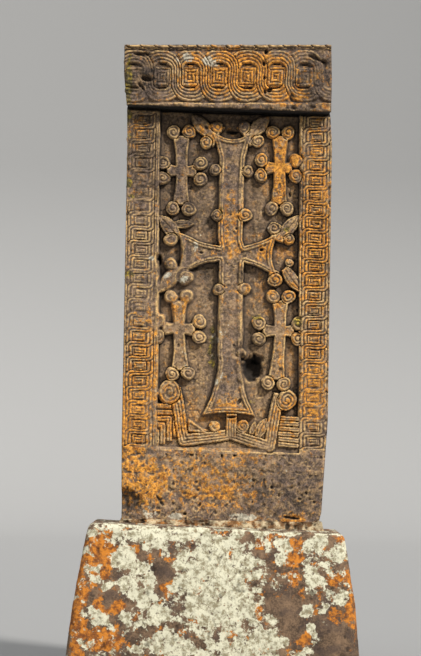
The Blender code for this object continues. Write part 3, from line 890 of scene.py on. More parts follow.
FIELD_SCARS = (
    ((106, 606), (46, 58), 52, 0), ((130, 640), (30, 24), 24, 0), ((70, 650), (14, 20), 14, 0),
    ((-266, 1026), (12, 24), 30, 0), ((139, 1077), (9, 7), 14, 0),
    ((-100, 1059), (12, 8), 8, 0), ((31, 410), (26, 7), 26, 0), ((60, 470), (18, 10), 9, 60),
    ((-30, 1330), (7, 10), 6, 0), ((40, 1160), (8, 6), 5, 0), ((-10, 820), (9, 6), 6, 30),
    ((205, 1330), (8, 12), 6, 0), ((-185, 690), (8, 10), 6, 0), ((36, 690), (6, 9), 6, 0),
    ((60, 868), (6, 6), 7, 0), ((60, 830), (6, 6), 7, 0), ((16, 1546), (30, 9), 18, 0),
    ((-88, 1560), (7, 12), 14, 30),
    ((-270, 1040), (12, 16), 22, 0), ((-196, 1062), (12, 7), 8, 10), ((222, 600), (8, 8), 6, 0),
    ((-120, 1000), (10, 7), 6, 0), ((250, 1300), (7, 12), 7, 0), ((-20, 640), (9, 7), 6, 0),
    ((62, 540), (10, 16), 8, 20),
)

FOOT_SCARS = (
    ((-3, 262), (5, 22), 16, 0), ((49, 264), (12, 11), 14, 0), ((66, 285), (7, 8), 10, 0),
    ((-124, 254), (8, 6), 10, 0), ((-105, 242), (7, 7), 9, 0), ((5, 192), (8, 6), 9, 0),
    ((-194, 142), (8, 8), 10, 0), ((-104, 150), (10, 6), 10, 0), ((-97, 118), (9, 7), 10, 0),
    ((-110, 86), (7, 8), 8, 0), ((121, 162), (9, 7), 10, 0), ((196, 135), (8, 7), 9, 0),
    ((224, 104), (7, 8), 8, 0), ((306, 90), (9, 6), 10, 0), ((330, 115), (8, 8), 9, 0),
    ((364, 78), (8, 8), 9, 0), ((-148, 24), (9, 7), 10, 0), ((-252, 80), (28, 6), 9, -58),
    ((268, 14), (46, 7), 14, -6), ((-372, 68), (52, 56), 22, 20), ((-395, 60), (34, 66), 12, 0),
)


class SlabPart(Enum):
    """A tier of the slab, from the ground up."""

    FOOT = "foot"
    LOWER = "lower"
    MIDDLE = "middle"
    UPPER = "upper"
    CORNICE = "cornice"


def skin(rows: int, count: int) -> tuple[Array, Array]:
    """Vertex numbers of a stack of rings, and the quads between neighbouring rings.

    Args:
        rows: How many rings the stack has.
        count: How many points a ring has.

    Returns:
        The numbers, rings by points, and the quads.
    """
    numbers = np.arange(rows * count).reshape(rows, count)
    beside = np.roll(numbers, -1, axis=1)
    quads = np.stack((numbers[:-1], beside[:-1], beside[1:], numbers[1:]), axis=2)
    return numbers, quads.reshape(-1, 4)


def mesh_object(name: str, rings: Array, marks: dict[str, Array], sharp_ends: Sequence[int],
                own_caps: bool = False) -> bpy.types.Object:
    """Make a closed piece at the origin from a stack of rings, the first below the last.

    Args:
        name: The piece's name.
        rings: Rows by points by 3 places in metres.
        marks: Values on the vertices, by attribute name.
        sharp_ends: The end rings whose edges are kept sharp.
        own_caps: True gives each cap a material slot of its own after the first.

    Returns:
        The new object.
    """
    mesh = bpy.data.meshes.new(name)
    vertices = rings.reshape(-1, 3)
    numbers, quads = skin(*rings.shape[:2])
    caps = (numbers[0][::-1], numbers[-1])
    corners = np.concatenate([quads.ravel(), *caps]).astype(np.int32)
    sizes = np.concatenate((np.full(len(quads), 4), [len(cap) for cap in caps])).astype(np.int32)
    mesh.vertices.add(len(vertices))
    mesh.vertices.foreach_set("co", np.asarray(vertices, dtype=np.float32).ravel())
    mesh.loops.add(len(corners))
    mesh.loops.foreach_set("vertex_index", corners)
    mesh.polygons.add(len(sizes))
    mesh.polygons.foreach_set("loop_start", (np.cumsum(sizes) - sizes).astype(np.int32))
    mesh.polygons.foreach_set("loop_total", sizes)
    mesh.update(calc_edges=True)
    mesh.shade_smooth()
    if own_caps:
        slots = np.zeros(len(sizes), dtype=np.int32)
        slots[len(quads):] = np.arange(1, len(caps) + 1)
        mesh.polygons.foreach_set("material_index", slots)
    ends = np.empty(len(mesh.edges) * 2, dtype=np.int32)
    mesh.edges.foreach_get("vertices", ends)
    ends = ends.reshape(-1, 2)
    sharp = np.zeros(len(ends), dtype=bool)
    for end in sharp_ends:
        member = np.zeros(len(vertices), dtype=bool)
        member[numbers[end]] = True
        sharp |= member[ends].all(axis=1)
    mesh.attributes.new("sharp_edge", "BOOLEAN", "EDGE").data.foreach_set("value", sharp)
    for mark, values in marks.items():
        mesh.attributes.new(mark, "FLOAT", "POINT").data.foreach_set("value", values.astype(np.float32))
    piece = bpy.data.objects.new(name, mesh)
    bpy.context.scene.collection.objects.link(piece)
    return piece


def box_blur(grid: Array, cells: int) -> Array:
    """A moving average over a square window, by differences of running sums.

    Args:
        grid: The values.
        cells: How far the window reaches each way.

    Returns:
        The averages.
    """
    blurred = grid
    for axis in (0, 1):
        width = [(0, 0), (0, 0)]
        width[axis] = (cells + 1, cells)
        padded = np.pad(blurred, width, mode="edge")
        total = np.cumsum(padded, axis=axis)
        count = grid.shape[axis]
        span = 2 * cells + 1
        high = np.take(total, np.arange(span, span + count), axis=axis)
        low = np.take(total, np.arange(0, count), axis=axis)
        blurred = (high - low) / span
    return blurred


@dataclass(frozen=True)
class Patch:
    """A soft ellipse where a growth, a stain or painted shade gathers: its centre, radii and strength."""

    centre: tuple
    radii: tuple
    strength: float = 1.0


def patches(*rows: tuple) -> tuple[Patch, ...]:
    """Patches from rows of a centre, two radii and, where it isn't 1, a strength."""
    return tuple(Patch(row[:2], row[2:4], *row[4:]) for row in rows)


def gathered(points: Array, patches: Sequence[Patch]) -> Array:
    """The strongest of several soft ellipses at each point.

    Args:
        points: N by 2 places.
        patches: The ellipses.

    Returns:
        Their strength at each point.
    """
    total = np.zeros(len(points))
    for patch in patches:
        out = np.hypot((points[:, 0] - patch.centre[0]) / patch.radii[0],
                       (points[:, 1] - patch.centre[1]) / patch.radii[1])
        total = np.maximum(total, patch.strength * smooth(1.3, 0.35, out))
    return total


@dataclass
class CarvedSlab:
    """The carved slab, as five closed tiers that meet at natural breaks of the carving."""

    layout: SlabLayout = field(default_factory=SlabLayout)
    levels: Levels = field(default_factory=Levels)
    column_step: float = 2.6
    foot_step: float = 3.4
    cornice_step: float = 2.0
    side_step: float = 14.0
    back_inset: float = 7.0
    undercut: float = 14.0
    tuft_reach: float = 26.0
    tuft_columns: int = 12
    orange: tuple = patches(
        (30, 1770, 290, 110), (230, 1690, 110, 60, 0.6), (-330, 600, 90, 260, 0.75),
        (-350, 360, 70, 200), (-398, 400, 34, 240), (-330, 150, 190, 120, 0.78),
        (-80, 150, 260, 120, 0.55), (350, 1180, 66, 480), (350, 600, 60, 340, 0.7),
        (205, 1420, 100, 170, 0.85), (20, 1150, 110, 150, 0.6), (210, 1080, 140, 60, 0.85),
        (-60, 240, 260, 60, 0.45), (280, 10, 60, 26), (20, 420, 190, 80, 0.6),
        (-190, 420, 110, 130, 0.75), (250, 420, 90, 130, 0.5), (190, 900, 110, 120, 0.6),
        (-200, 830, 90, 60, 0.6), (250, 640, 70, 160, 0.5), (-60, 1540, 160, 60, 0.5),
        (-350, 1550, 50, 80, 0.5),
    )
    pale: tuple = patches(
        (-178, 1822, 52, 34), (-75, 1812, 44, 30), (70, 14, 80, 26, 0.8), (330, 1700, 90, 90, 0.3),
        (-280, 30, 44, 34, 0.8), (-237, 972, 28, 20, 0.95), (-172, 952, 38, 22, 0.85),
        (-32, 715, 12, 20, 0.95), (-32, 547, 12, 20, 0.95), (-300, 1032, 20, 14, 0.9),
        (-150, 1000, 120, 300, 0.36), (170, 1230, 110, 240, 0.36), (0, 150, 360, 120, 0.34),
        (-30, 700, 90, 260, 0.4), (-130, 620, 90, 110, 0.42), (-185, 10, 36, 26, 0.9),
        (160, 10, 130, 18, 0.7), (-100, 8, 60, 14, 0.6),
    )
    green: tuple = patches(
        (-400, 1700, 22, 200), (-395, 1480, 14, 220, 0.7), (290, 790, 26, 26, 0.9),
        (360, 1000, 60, 140, 0.45), (-50, 680, 22, 150, 0.75), (126, 808, 28, 16, 0.95),
        (-20, 1229, 16, 24, 0.9), (238, 1159, 18, 14, 0.85), (-383, 966, 26, 26, 0.8),
        (-380, 1276, 20, 26, 0.9), (114, 471, 18, 16, 0.75), (-395, 1338, 20, 30, 0.95),
        (-384, 1426, 18, 20, 0.8), (300, 1600, 90, 24, 0.4), (-300, 60, 60, 30, 0.4),
    )
    tan: tuple = patches(
        (-180, 700, 140, 260), (200, 650, 140, 260), (0, 370, 360, 120), (170, 1400, 140, 200, 0.5),
        (-60, 200, 240, 90, 0.5), (20, 900, 90, 300, 0.4), (350, 800, 70, 500, 0.3),
        (0, 330, 340, 70, 1.3),
    )
    # Patches that dim the face: some are stains, most are painted shadow beside raised forms, under the
    # cornice's edge and in the deep holes.
    shade_and_stain: tuple = patches(
        (200, 130, 230, 120, 0.45), (-40, 1602, 330, 26, 0.8), (-374, 66, 62, 70), (104, 612, 56, 70),
        (92, 715, 30, 76, 0.8), (-52, 680, 24, 150, 0.85), (150, 640, 32, 96, 0.6),
        (290, 560, 16, 120, 0.8), (-68, 1184, 38, 54, 0.7), (-72, 976, 40, 56, 0.7),
        (74, 982, 38, 34, 0.75), (295, 1290, 14, 120, 0.7), (-66, 1402, 28, 66, 0.65),
        (14, 1548, 34, 16), (-262, 1450, 20, 120, 0.6), (110, 1300, 26, 90, 0.4),
        (-250, 1030, 30, 50, 0.8), (340, 1740, 100, 130, 0.75), (-335, 1740, 110, 110, 0.95),
        (-250, 1624, 210, 16, 0.6), (200, 1632, 240, 16, 0.6), (-345, 1450, 70, 220, 0.75),
        (-180, 1330, 110, 200, 0.35),
    )
    eroded: tuple = patches(
        (-183, 800, 115, 120, 0.5), (345, 1735, 90, 120, 0.6), (-360, 1760, 60, 110, 0.6),
        (-340, 820, 80, 260, 0.4), (30, 740, 80, 160, 0.7), (-345, 1280, 60, 160, 0.5),
        (350, 520, 70, 160, 0.5), (-220, 960, 90, 60, 0.8), (0, 1600, 300, 40, 0.5),
        (60, 1780, 60, 60, 0.5), (-100, 1830, 120, 40, 0.7), (-330, 1662, 120, 46),
        (-200, 1080, 60, 60, 0.6), (40, 560, 90, 100, 0.5), (-60, 1600, 120, 60, 0.6),
        (270, 1660, 120, 40, 0.7), (-300, 470, 70, 110, 0.5), (-60, 279, 380, 16),
    )
    crisp: tuple = patches(
        (70, 1075, 200, 160), (0, 1770, 260, 90, 0.7), (350, 1000, 70, 420, 0.8),
        (0, 400, 260, 120, 0.7), (-345, 560, 70, 240, 0.6),
    )

    def __post_init__(self) -> None:
        """Read where the slab stands from the frame."""
        self.low, self.high = (np.asarray(corner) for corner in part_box("carved_slab"))
        self.axis_x = self.low[0] - self.layout.left_across[-1] * MM
        self.foot_z = self.low[2]
        self.back_y = self.high[1]
        self.face_y = self.back_y - self.layout.thickness * MM

    def tier_limits(self, part: SlabPart) -> tuple[Callable, Callable, float]:
        """The lower and upper edge of a tier and the step between its rows.

        Args:
            part: The tier.

        Returns:
            The lower edge, the upper edge and the step.
        """
        layout = self.layout
        foot_top, lower_top, middle_top = layout.seams

        def level(value: float) -> Callable:
            """An edge at one height."""
            return lambda across: np.full_like(across, value)

        cuts = {
            SlabPart.FOOT: (level(0.0), level(foot_top), self.foot_step),
            SlabPart.LOWER: (level(foot_top), level(lower_top), self.column_step),
            SlabPart.MIDDLE: (level(lower_top), level(middle_top), self.column_step),
            SlabPart.UPPER: (level(middle_top), layout.cornice_edge, self.column_step),
            SlabPart.CORNICE: (layout.cornice_edge, layout.top, self.cornice_step),
        }
        return cuts[part]

    def relief(self, across: Array, up: Array, part: SlabPart) -> Array:
        """The height of the carving over a tier, cut form by form and then weathered.

        Args:
            across: Places across the slab.
            up: Places up the slab.
            part: The tier.

        Returns:
            Heights above the plain border face.
        """
        carving = Carving(across, up)
        level = self.levels
        if part is SlabPart.CORNICE:
            CorniceWork(level).cut(carving)
            share = (up - self.layout.cornice_left) / (self.layout.height - self.layout.cornice_left)
            carving.height += level.cornice_lean * np.clip(share, 0.0, 1.0)
        elif part is not SlabPart.FOOT:
            rough = 2.6 * fractal(carving.place, 36, 4, 41)
            carving.shape(self.layout.panel, (0.0, 3.5), (0.0, level.field), False)
            carving.height += np.where(carving.height < level.field + 1.0, rough, 0.0)
            BaseOrnament(level).cut(carving)
            GreatCross(level).cut(carving)
            for cross in SMALL_CROSSES:
                cross.cut(carving)
            BorderWork(-344.0, -336.0, level).cut(carving)
            BorderWork(350.0, 356.0, level).cut(carving)
            rail = np.array(((-282.0, 1606.0), (-276.0, 900.0), (-271.0, 290.0)))
            carving.strand(rail, 8.5, 2, level.border, level.border_ground, 5.0)
            for place, radii, depth, lean in FIELD_SCARS:
                carving.hole(place, radii, depth, lean)
        else:
            broad = 2.6 * fractal(carving.place, 64, 4, 43)
            carving.height += broad + 3.6 * fractal(carving.place, 19, 3, 44)
            for place, radii, depth, lean in FOOT_SCARS:
                carving.hole(place, radii, depth, lean)
        return self.weathered(carving, part)

    def weathered(self, carving: Carving, part: SlabPart) -> Array:
        """Wear the carving: fine roughness, pits, and places worn smooth.

        Args:
            carving: The carving, with its forms cut.
            part: The tier.

        Returns:
            The height at each place.
        """
        place = carving.place
        height = carving.height
        eaten = smooth(0.0, 0.5, fractal(place, 150, 2, 54))
        height = height + 1.5 * fractal(place, 9, 2, 51) + 2.6 * fractal(place, 42, 3, 52)
        height = height - 2.6 * smooth(0.45, 0.9, 1.0 - np.abs(fractal(place, 26, 3, 55)) * 3.0) * eaten
        pits = smooth(0.3, 0.55, fractal(place, 15, 2, 53))
        height = height - (5.0 if part is SlabPart.FOOT else 2.8) * pits
        if part is SlabPart.UPPER:
            below = self.layout.cornice_edge(carving.across) - carving.up
            height = height - self.undercut * smooth(15.0, 5.0, below)
        return height

    def edge_wear(self, inside: Array, place: Array) -> Array:
        """How far the arris is worn back.

        Args:
            inside: Distances inside the outline.
            place: The points' places.

        Returns:
            Depths worn away.
        """
        chips = smooth(0.2, 0.6, fractal(place, 55, 3, 61))
        reach = 8.0 + 16.0 * chips
        share = np.clip(1.0 - inside / reach, 0.0, 1.0)
        return (4.0 + 9.0 * chips) * share ** 1.6

    def worn(self, height: Array, place: Array, inner: Array) -> Array:
        """Draw the carving towards its own blur where weather has eaten it.

        Args:
            height: The carving's height.
            place: The points' places, flat.
            inner: 1 inside the tier, falling to 0 at its lower and upper edge.

        Returns:
            The worn height.
        """
        share = 0.16 + 0.8 * gathered(place, self.eroded)
        share += 0.9 * np.maximum(fractal(place, 130, 3, 63), 0.0)
        share -= 0.6 * gathered(place, self.crisp)
        share = np.clip(share, 0.0, 1.2).reshape(height.shape) * inner
        soft = box_blur(height, 2)
        softer = box_blur(height, 5)
        drawn = height + (soft - height) * np.clip(share * 1.2, 0.0, 1.0)
        return drawn + (softer - soft) * smooth(0.8, 1.5, share)

    def build_tier(self, part: SlabPart) -> bpy.types.Object:
        """Build one tier: rows of rings round the slab, closed below and above.

        A ring runs across the face, back along the right side, across the back
        and forward along the left side.

        Args:
            part: The tier.

        Returns:
            The new piece.
        """
        low_edge, high_edge, row_step = self.tier_limits(part)
        layout = self.layout
        middle = np.zeros(1)
        span = float(high_edge(middle)[0] - low_edge(middle)[0])
        rows = int(round(span / row_step)) + 1
        column_step = self.cornice_step if part is SlabPart.CORNICE else self.column_step
        columns = int(round(layout.width / column_step)) + 1
        share_up = np.repeat(np.linspace(0, 1, rows)[:, None], columns, axis=1)
        share_across = np.repeat(np.linspace(0, 1, columns)[None], rows, axis=0)
        nominal = low_edge(middle)[0] + share_up * span
        left = layout.left(nominal)
        right = layout.right(nominal)
        across = left + (right - left) * share_across
        flat = across.ravel()
        low = low_edge(flat).reshape(across.shape)
        high = high_edge(flat).reshape(across.shape)
        up = low + (high - low) * share_up
        place = flat_places(flat, up.ravel())
        from_seam = np.minimum(up - low, high - up)
        height = self.relief(flat, up.ravel(), part).reshape(across.shape)
        height = self.worn(height, place, smooth(0.0, 16.0, from_seam))
        inside = np.minimum(across - left, right - across)
        if part is SlabPart.CORNICE:
            inside = np.minimum(inside, from_seam * 1.6)
        height -= self.edge_wear(inside.ravel(), place).reshape(across.shape)
        tuft = self.tufts(flat_places(left[:, 0], up[:, 0])) * smooth(0.0, 14.0, from_seam[:, 0])
        across[:, :self.tuft_columns] -= tuft[:, None] * np.linspace(1.0, 0.0, self.tuft_columns)
        front = np.stack((across, -height, up), axis=2)
        ring, marks = self.wrap(front, left[:, 0], right[:, 0], tuft, part)
        rings = ring * MM + (self.axis_x, self.face_y, self.foot_z)
        piece = mesh_object(f"slab_{part.value}", rings, marks, (0, -1), part is SlabPart.CORNICE)
        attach(piece, "root")
        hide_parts("carved_slab")
        return piece

    def tufts(self, place: Array) -> Array:
        """How far moss stands out from places on the left edge."""
        grown = np.clip(fractal(place, 30, 3, 84) - 0.02, 0.0, 0.45)
        return self.tuft_reach * gathered(place, self.green) * grown

    def wrap(self, front: Array, left: Array, right: Array, tuft: Array,
             part: SlabPart) -> tuple[Array, dict[str, Array]]:
        """Close the face with rough sides and a rougher back, and mark hollows and growth.

        Args:
            front: Rows by columns by 3 places of the face.
            left: The left edge of each row.
            right: The right edge of each row.
            tuft: How far moss stands out from the left edge of each row.
            part: The tier.

        Returns:
            The ring of each row, and the vertex values for the finishes.
        """
        depth = self.layout.thickness
        side_count = int(depth / self.side_step)
        back_count = int(self.layout.width / self.side_step)
        side_share = np.linspace(0, 1, side_count + 2)[1:-1]
        back_share = np.linspace(0, 1, back_count + 1)
        right_y = front[:, -1, 1][:, None] + (depth - 10.0 - front[:, -1, 1][:, None]) * side_share
        left_y = (front[:, 0, 1][:, None] + (depth - 10.0 - front[:, 0, 1][:, None]) * side_share)[:, ::-1]
        up_right = np.repeat(front[:, -1, 2][:, None], side_count, axis=1)
        up_left = np.repeat(front[:, 0, 2][:, None], side_count, axis=1)
        side_right = np.stack((np.repeat(right[:, None], side_count, axis=1), right_y, up_right), axis=2)
        mossy = left[:, None] - tuft[:, None] * np.linspace(-1.2, 0.85, side_count).clip(0.0)
        side_left = np.stack((mossy, left_y, up_left), axis=2)
        inner = self.back_inset
        back_x = (right - inner)[:, None] + (left - right + 2 * inner)[:, None] * back_share
        back_up = up_right[:, :1] + (up_left[:, :1] - up_right[:, :1]) * back_share
        back = np.stack((back_x, np.full(back_x.shape, depth), back_up), axis=2)
        sheets = ((side_right, (-1.0, 0.0), 5.0), (side_left, (1.0, 0.0), 5.0), (back, (0.0, -1.0), 7.0))
        for sheet, normal, amount in sheets:
            flat = sheet.reshape(-1, 3)
            rough = 0.55 + 0.5 * fractal(flat, 120, 4, 71) + 0.16 * fractal(flat, 18, 2, 72)
            rough = np.clip(rough, 0.0, 1.4).reshape(sheet.shape[:2])
            sheet[:, :, 0] += normal[0] * amount * rough
            sheet[:, :, 1] += normal[1] * amount * rough
        ring = np.concatenate((front, side_right, back, side_left), axis=1)
        return ring, self.marks(ring, front, part)

    def marks(self, ring: Array, front: Array, part: SlabPart) -> dict[str, Array]:
        """Vertex values: hollows and ridges from blurred relief, which the finish paints as shade and
        highlight, patches of stain and painted shadow, and where growths gather.

        Args:
            ring: Rows by points by 3 places of the whole skin.
            front: Rows by columns by 3 places of the face.
            part: The tier.

        Returns:
            The values by attribute name.
        """
        height = -front[:, :, 1]
        near = height - box_blur(height, 2)
        wide = height - box_blur(height, 9)
        columns = front.shape[1]
        shape = ring.shape[:2]
        # The finish paints the hollow mark as shade: recesses of the carving are dimmed, and the sides and
        # back a little.
        hollow = np.full(shape, 0.15)
        hollow[:, :columns] = np.clip(-near / 2.0, 0.0, 1.0) * 0.65
        hollow[:, :columns] += np.clip(-wide / 15.0, 0.0, 1.0) * 0.55
        if part is SlabPart.CORNICE:
            hollow *= 0.8
        # Just under the cornice's edge the face is marked fully hollow: a painted black line of shade under
        # the overhang.
        if part is SlabPart.UPPER:
            edge = self.layout.cornice_edge(front[:, :, 0].ravel()).reshape(height.shape)
            below = edge - front[:, :, 2]
            hollow[:, :columns] = np.maximum(hollow[:, :columns], 1.1 * smooth(16.0, 9.0, below))
        # The deep holes are marked fully hollow, so they are painted near black as shade.
        hollow[:, :columns] = np.maximum(hollow[:, :columns], 1.1 * smooth(-44.0, -58.0, height))
        # The finish lightens the ridge mark to a golden tone: partly worn skin of the stone, partly a
        # painted highlight on raised edges.
        ridge = np.full(shape, 0.25)
        ridge[:, :columns] = np.clip(near / 1.8, 0.0, 1.0)
        sunk = np.zeros(shape)
        if part not in (SlabPart.CORNICE, SlabPart.FOOT):
            sunk[:, :columns] = smooth(-14.0, -30.0, height)
        flat = ring.reshape(-1, 3)
        face = flat[:, (0, 2)]
        facing = np.zeros(shape)
        facing[:, :columns] = 1.0
        facing = facing.ravel()
        noise = fractal(flat, 90, 4, 81)
        drift = fractal(flat, 340, 3, 82)
        streak = fractal(flat * (1.0, 1.0, 0.14), 70, 3, 83)
        off = 1.0 - facing
        shade_and_stain = gathered(face, self.shade_and_stain)
        orange = gathered(face, self.orange) * facing + off * (0.75 * drift - 0.05)
        green = gathered(face, self.green) * (0.4 + 0.6 * facing)
        # The painted ridge highlight is held back under the patches of painted shadow and stain.
        ridge = ridge.ravel() * (1.0 - 0.8 * shade_and_stain * facing)
        aloft = smooth(900.0, 1850.0, flat[:, 2])
        shallow = gathered(face, (Patch((-30, 350), (330, 110)),)) * facing
        return {
            "hollow": hollow.ravel() * (1.0 - 0.4 * shallow), "ridge": ridge, "sunk": sunk.ravel(),
            "orange": np.clip(0.22 + 0.78 * orange + 0.25 * noise, 0.0, 1.0),
            "pale": gathered(face, self.pale) * facing
            + off * np.clip(0.25 + 0.3 * aloft - 0.7 * drift, 0.0, 0.8),
            "green": green, "shade_and_stain": shade_and_stain * facing + off * np.clip(0.35 + 1.1 * streak, 0.0, 1.0),
            "tan": gathered(face, self.tan) * facing + off * np.clip(0.4 + 0.8 * drift, 0.0, 1.0),
        }

    def build(self) -> list[bpy.types.Object]:
        """Build the five tiers."""
        return [self.build_tier(part) for part in SlabPart]


SMALL_CROSSES = (
    SmallCross((-183, 1386), 156, 152, 75, 74, -1, -5),
    SmallCross((206, 1405), 143, 163, 73, 64, 2, 1),
    SmallCross((-183, 756), 129, 177, 83, 81, 7, -5),
    SmallCross((219, 754), 137, 209, 85, 71, -14, 0),
)


@dataclass
class MortarBed:
    """The mortar bed: a crumbled wedge, squeezed out and broken at its edge."""

    spread: float = 13.0
    step: float = 4.0
    levels: int = 12

    def build(self) -> bpy.types.Object:
        """Build the bed as rings from its underside to the slab's foot."""
        low, high = (np.asarray(corner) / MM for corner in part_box("mortar_bed"))
        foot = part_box("carved_slab")[0][2] / MM
        left, right = low[0] + self.spread, high[0] - self.spread
        front, back = low[1] + self.spread, high[1] - self.spread
        across = np.arange(left, right, self.step)
        deep = np.arange(front, back, self.step)
        ring = np.vstack((
            np.column_stack((across, np.full(len(across), front))),
            np.column_stack((np.full(len(deep), right), deep)),
            np.column_stack((across[::-1] + self.step, np.full(len(across), back))),
            np.column_stack((np.full(len(deep), left), deep[::-1] + self.step)),
        ))
        middle = np.array(((left + right) / 2, (front + back) / 2))
        half = np.array(((right - left) / 2, (back - front) / 2))
        outward = np.clip((ring - middle) / half, -1, 1)
        outward = np.where(np.abs(outward) > 0.985, np.sign(outward), 0.0)
        slope = (high[2] - low[2] - 14.0) / (right - left)
        rings = []
        for share in np.linspace(0.0, 1.0, self.levels):
            bottom = foot - 34.0 + (right - ring[:, 0]) * slope
            up = bottom + (foot - bottom) * share
            place = np.column_stack((ring, up))
            crumble = 0.6 + 1.1 * fractal(place, 36, 4, 91) + 0.9 * fractal(place, 15, 3, 92)
            bulge = self.spread * (-0.45 + 0.9 * (1.0 - share) ** 0.8) * np.clip(crumble, 0.1, 1.7)
            bulge = bulge - self.spread * 0.5 * smooth(0.5, 0.1, crumble) * smooth(1.0, 0.8, share)
            moved = ring + outward * bulge[:, None]
            rings.append(np.column_stack((moved, up)))
        whole = np.stack(rings)
        flat = whole.reshape(-1, 3)
        worn = fractal(flat, 36, 4, 91) + 0.8 * fractal(flat, 15, 3, 92)
        # The finish paints the hollow mark as shade: the crumbled recesses are dimmed.
        marks = {"hollow": np.clip(0.24 - 1.5 * worn, 0.0, 1.0)}
        piece = mesh_object("mortar_bedding", whole * MM, marks, (0, -1))
        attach(piece, "root")
        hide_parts("mortar_bed")
        return piece


PALE_CRUSTS = patches(
    (-20, 380, 225, 275), (60, 130, 200, 90, 0.8), (380, 470, 110, 110, 0.62), (-250, 548, 92, 50),
    (-70, 100, 260, 60, 0.8), (-300, 390, 70, 60, 0.8), (-200, 575, 330, 44), (-382, 490, 60, 60),
    (-320, 444, 56, 48), (-370, 375, 56, 40), (-300, 330, 72, 48), (-512, 575, 30, 26),
    (-542, 509, 15, 15), (-483, 398, 28, 17), (-448, 367, 31, 21), (-480, 260, 60, 44),
    (-365, 252, 36, 40), (-246, 260, 56, 48), (-200, 150, 112, 74), (-334, 129, 32, 26),
    (224, 544, 40, 32), (217, 483, 40, 36), (362, 544, 58, 40), (450, 510, 48, 46), (356, 413, 60, 36),
    (462, 340, 36, 36), (336, 283, 36, 36), (356, 213, 25, 36), (331, 118, 48, 32), (177, 167, 105, 74),
    (205, 260, 36, 29),
)
RUST_CRUSTS = patches(
    (-481, 482, 86, 130), (-556, 330, 54, 330), (-440, 298, 86, 48), (-476, 167, 140, 64),
    (-203, 375, 42, 42), (-345, 513, 48, 25), (-245, 506, 17, 31), (277, 513, 56, 72),
    (286, 421, 32, 48), (169, 536, 46, 46, 0.8), (441, 406, 64, 40, 0.9), (443, 275, 64, 48, 0.9),
    (512, 330, 40, 240), (39, 521, 16, 21), (30, 198, 40, 26), (482, 560, 60, 40),
    (250, 340, 60, 60, 0.55), (480, 200, 70, 90, 0.5), (143, 275, 26, 32), (161, 140, 36, 22),
    (-79, 275, 32, 26), (321, 175, 48, 48, 0.8), (-520, 60, 120, 60), (60, 60, 200, 40, 0.6),
)
BARE_STONE = patches(
    (-224, 429, 40, 44), (250, 300, 60, 78, 0.8), (290, 213, 50, 50, 0.7), (475, 206, 80, 110, 0.7),
    (-440, 329, 48, 26), (440, 80, 130, 80),
)


